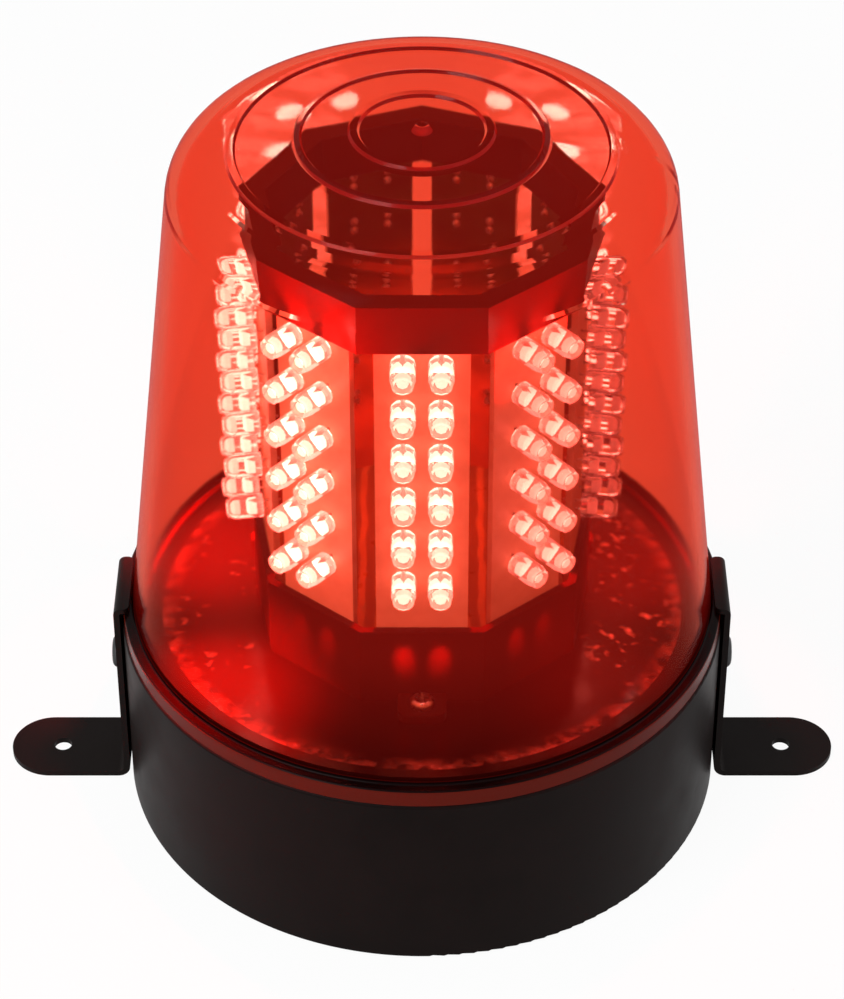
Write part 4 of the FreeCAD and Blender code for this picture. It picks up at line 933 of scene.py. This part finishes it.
class BEACON_OT_stage(bpy.types.Operator):
    """Set up the camera, the white floor and surroundings, and the lamps"""

    bl_idname = "beacon.stage"
    bl_label = "Stage"

    def execute(self, context):
        look = context.scene.beacon_stage
        self.camera(look)
        self.surroundings(look)
        self.floor(look)
        light_area("key_lamp", (-0.9, -0.9, 1.3), (0.0, 0.0, 0.08), 0.8, 15.0)
        light_area("fill_lamp", (1.1, -0.6, 0.9), (0.0, 0.0, 0.08), 0.9, 1.6)
        light_glow("deck_glow_left", (-58, 60, 92), (-53, 62, 53), 7.0, 80)
        light_glow("deck_glow_right", (52, 58, 95), (50, 62, 53), 0.9, 80)
        light_glow("deck_glow_left_rear", (-108, 58, 95), (-108, 56, 53), 6.0, 75)
        light_glow("deck_glow_right_rear", (104, 58, 95), (104, 56, 53), 1.5, 75)
        light_glow("deck_glow_rear", (180, 58, 95), (180, 56, 53), 5.0, 75)
        light_glow("rim_glow_left", (-30, 64, 66), (-30, 68, 53), 0.35, 70)
        light_glow("rim_glow_right", (30, 64, 66), (30, 68, 53), 0.12, 60)
        light_glow("rim_glow_front", (2, 64, 66), (2, 68, 53), 0.08, 60)
        for turn, energy in ((-46, 0.1), (-34, 0.14), (-6, 0.32), (6, 0.32), (34, 0.14), (46, 0.1)):
            light_glow(f"pedestal_glow_{turn}", (turn, 50, 80), (turn, 40, 66), energy, 22, 1.0)
        light_glow("tower_glow", (0, 0, 125), (180, 5, 60), 6.0, 120)
        light_glow("tower_glow_rear", (0, 20, 135), (180, 38, 85), 6.0, 80)
        light_glow("ring_glow_left", (-32, 56, 138), (-32, 40, 162), 2.6, 90)
        light_glow("ring_glow_right", (35, 56, 138), (32, 40, 162), 1.2, 90)
        context.scene.view_settings.view_transform = "Standard"
        return {"FINISHED"}

    def camera(self, look):
        """The photograph's view; the sensor's width lies along the frame's long side."""
        data = bpy.data.cameras.new("camera")
        data.sensor_width = 36.0
        data.lens = look.focal
        eye = bpy.data.objects.new("camera", data)
        eye.location = look.eye
        eye.rotation_euler = (look.tilt, 0.0, 0.0)
        bpy.context.scene.collection.objects.link(eye)
        bpy.context.scene.camera = eye

    def surroundings(self, look):
        """White where it is seen, and a soft ambient light elsewhere."""
        world = bpy.data.worlds.new("white_room")
        bpy.context.scene.world = world
        world.use_nodes = True
        tree = world.node_tree
        level = between(tree, seen_rays(tree), look.ambient, 1.0, 0.0, 1.0)
        sky = tree.nodes["Background"]
        sky.inputs["Color"].default_value = (1.0, 1.0, 1.0, 1.0)
        tree.links.new(level, sky.inputs["Strength"])

    def floor(self, look):
        """A wide white floor, mostly self-lit where it is seen, that keeps a faint shadow."""
        free_hands()
        bpy.ops.mesh.primitive_plane_add(size=8.0, location=(0.0, 0.0, -0.05 * MM))
        plane = bpy.context.object
        plane.name = "floor"
        material, tree, shader = new_finish("white_floor")
        grain = noise(tree, place(tree), 4.0)
        tone = blend_colour(tree, grain, (0.92, 0.92, 0.92), (0.96, 0.96, 0.96))
        tree.links.new(tone, shader.inputs["Base Color"])
        shader.inputs["Roughness"].default_value = 0.9
        shader.inputs["Specular IOR Level"].default_value = 0.0
        glow = tree.nodes.new("ShaderNodeEmission")
        share_lit = math_node(tree, "MULTIPLY", seen_rays(tree), 1.0 - look.shadow)
        surface = mix_shaders(tree, share_lit, shader.outputs["BSDF"], glow.outputs["Emission"])
        tree.links.new(surface, tree.nodes["Material Output"].inputs["Surface"])
        plane.data.materials.append(material)


OPERATORS = (
    BEACON_OT_lens_cover,
    BEACON_OT_led_groups,
    BEACON_OT_solder_joints,
    BEACON_OT_light_tower,
    BEACON_OT_housing,
    BEACON_OT_brackets,
    BEACON_OT_electrics,
    BEACON_OT_stage,
)

LOOKS = {
    "beacon_lens": BeaconLens,
    "beacon_leds": BeaconLeds,
    "beacon_housing": BeaconHousing,
    "beacon_stage": BeaconStage,
}


class BEACON_PT_sidebar(bpy.types.Panel):
    """The beacon's sizes, colours and steps"""

    bl_idname = "BEACON_PT_sidebar"
    bl_label = "LED Beacon"
    bl_space_type = "VIEW_3D"
    bl_region_type = "UI"
    bl_category = "Beacon"

    def draw(self, context):
        for name, group in LOOKS.items():
            box = self.layout.box()
            for prop in group.__annotations__:
                box.prop(getattr(context.scene, name), prop)
        for operator in OPERATORS:
            self.layout.operator(operator.bl_idname)


def register():
    for name, group in LOOKS.items():
        bpy.utils.register_class(group)
        setattr(bpy.types.Scene, name, PointerProperty(type=group))
    for operator in OPERATORS:
        bpy.utils.register_class(operator)
    bpy.utils.register_class(BEACON_PT_sidebar)


def unregister():
    bpy.utils.unregister_class(BEACON_PT_sidebar)
    for operator in reversed(OPERATORS):
        bpy.utils.unregister_class(operator)
    for name, group in LOOKS.items():
        delattr(bpy.types.Scene, name)
        bpy.utils.unregister_class(group)


def main():
    register()
    bpy.ops.beacon.lens_cover()
    bpy.ops.beacon.led_groups()
    bpy.ops.beacon.solder_joints()
    bpy.ops.beacon.light_tower()
    bpy.ops.beacon.housing()
    bpy.ops.beacon.brackets()
    bpy.ops.beacon.electrics()
    bpy.ops.beacon.stage()


if __name__ == "__main__":
    main()
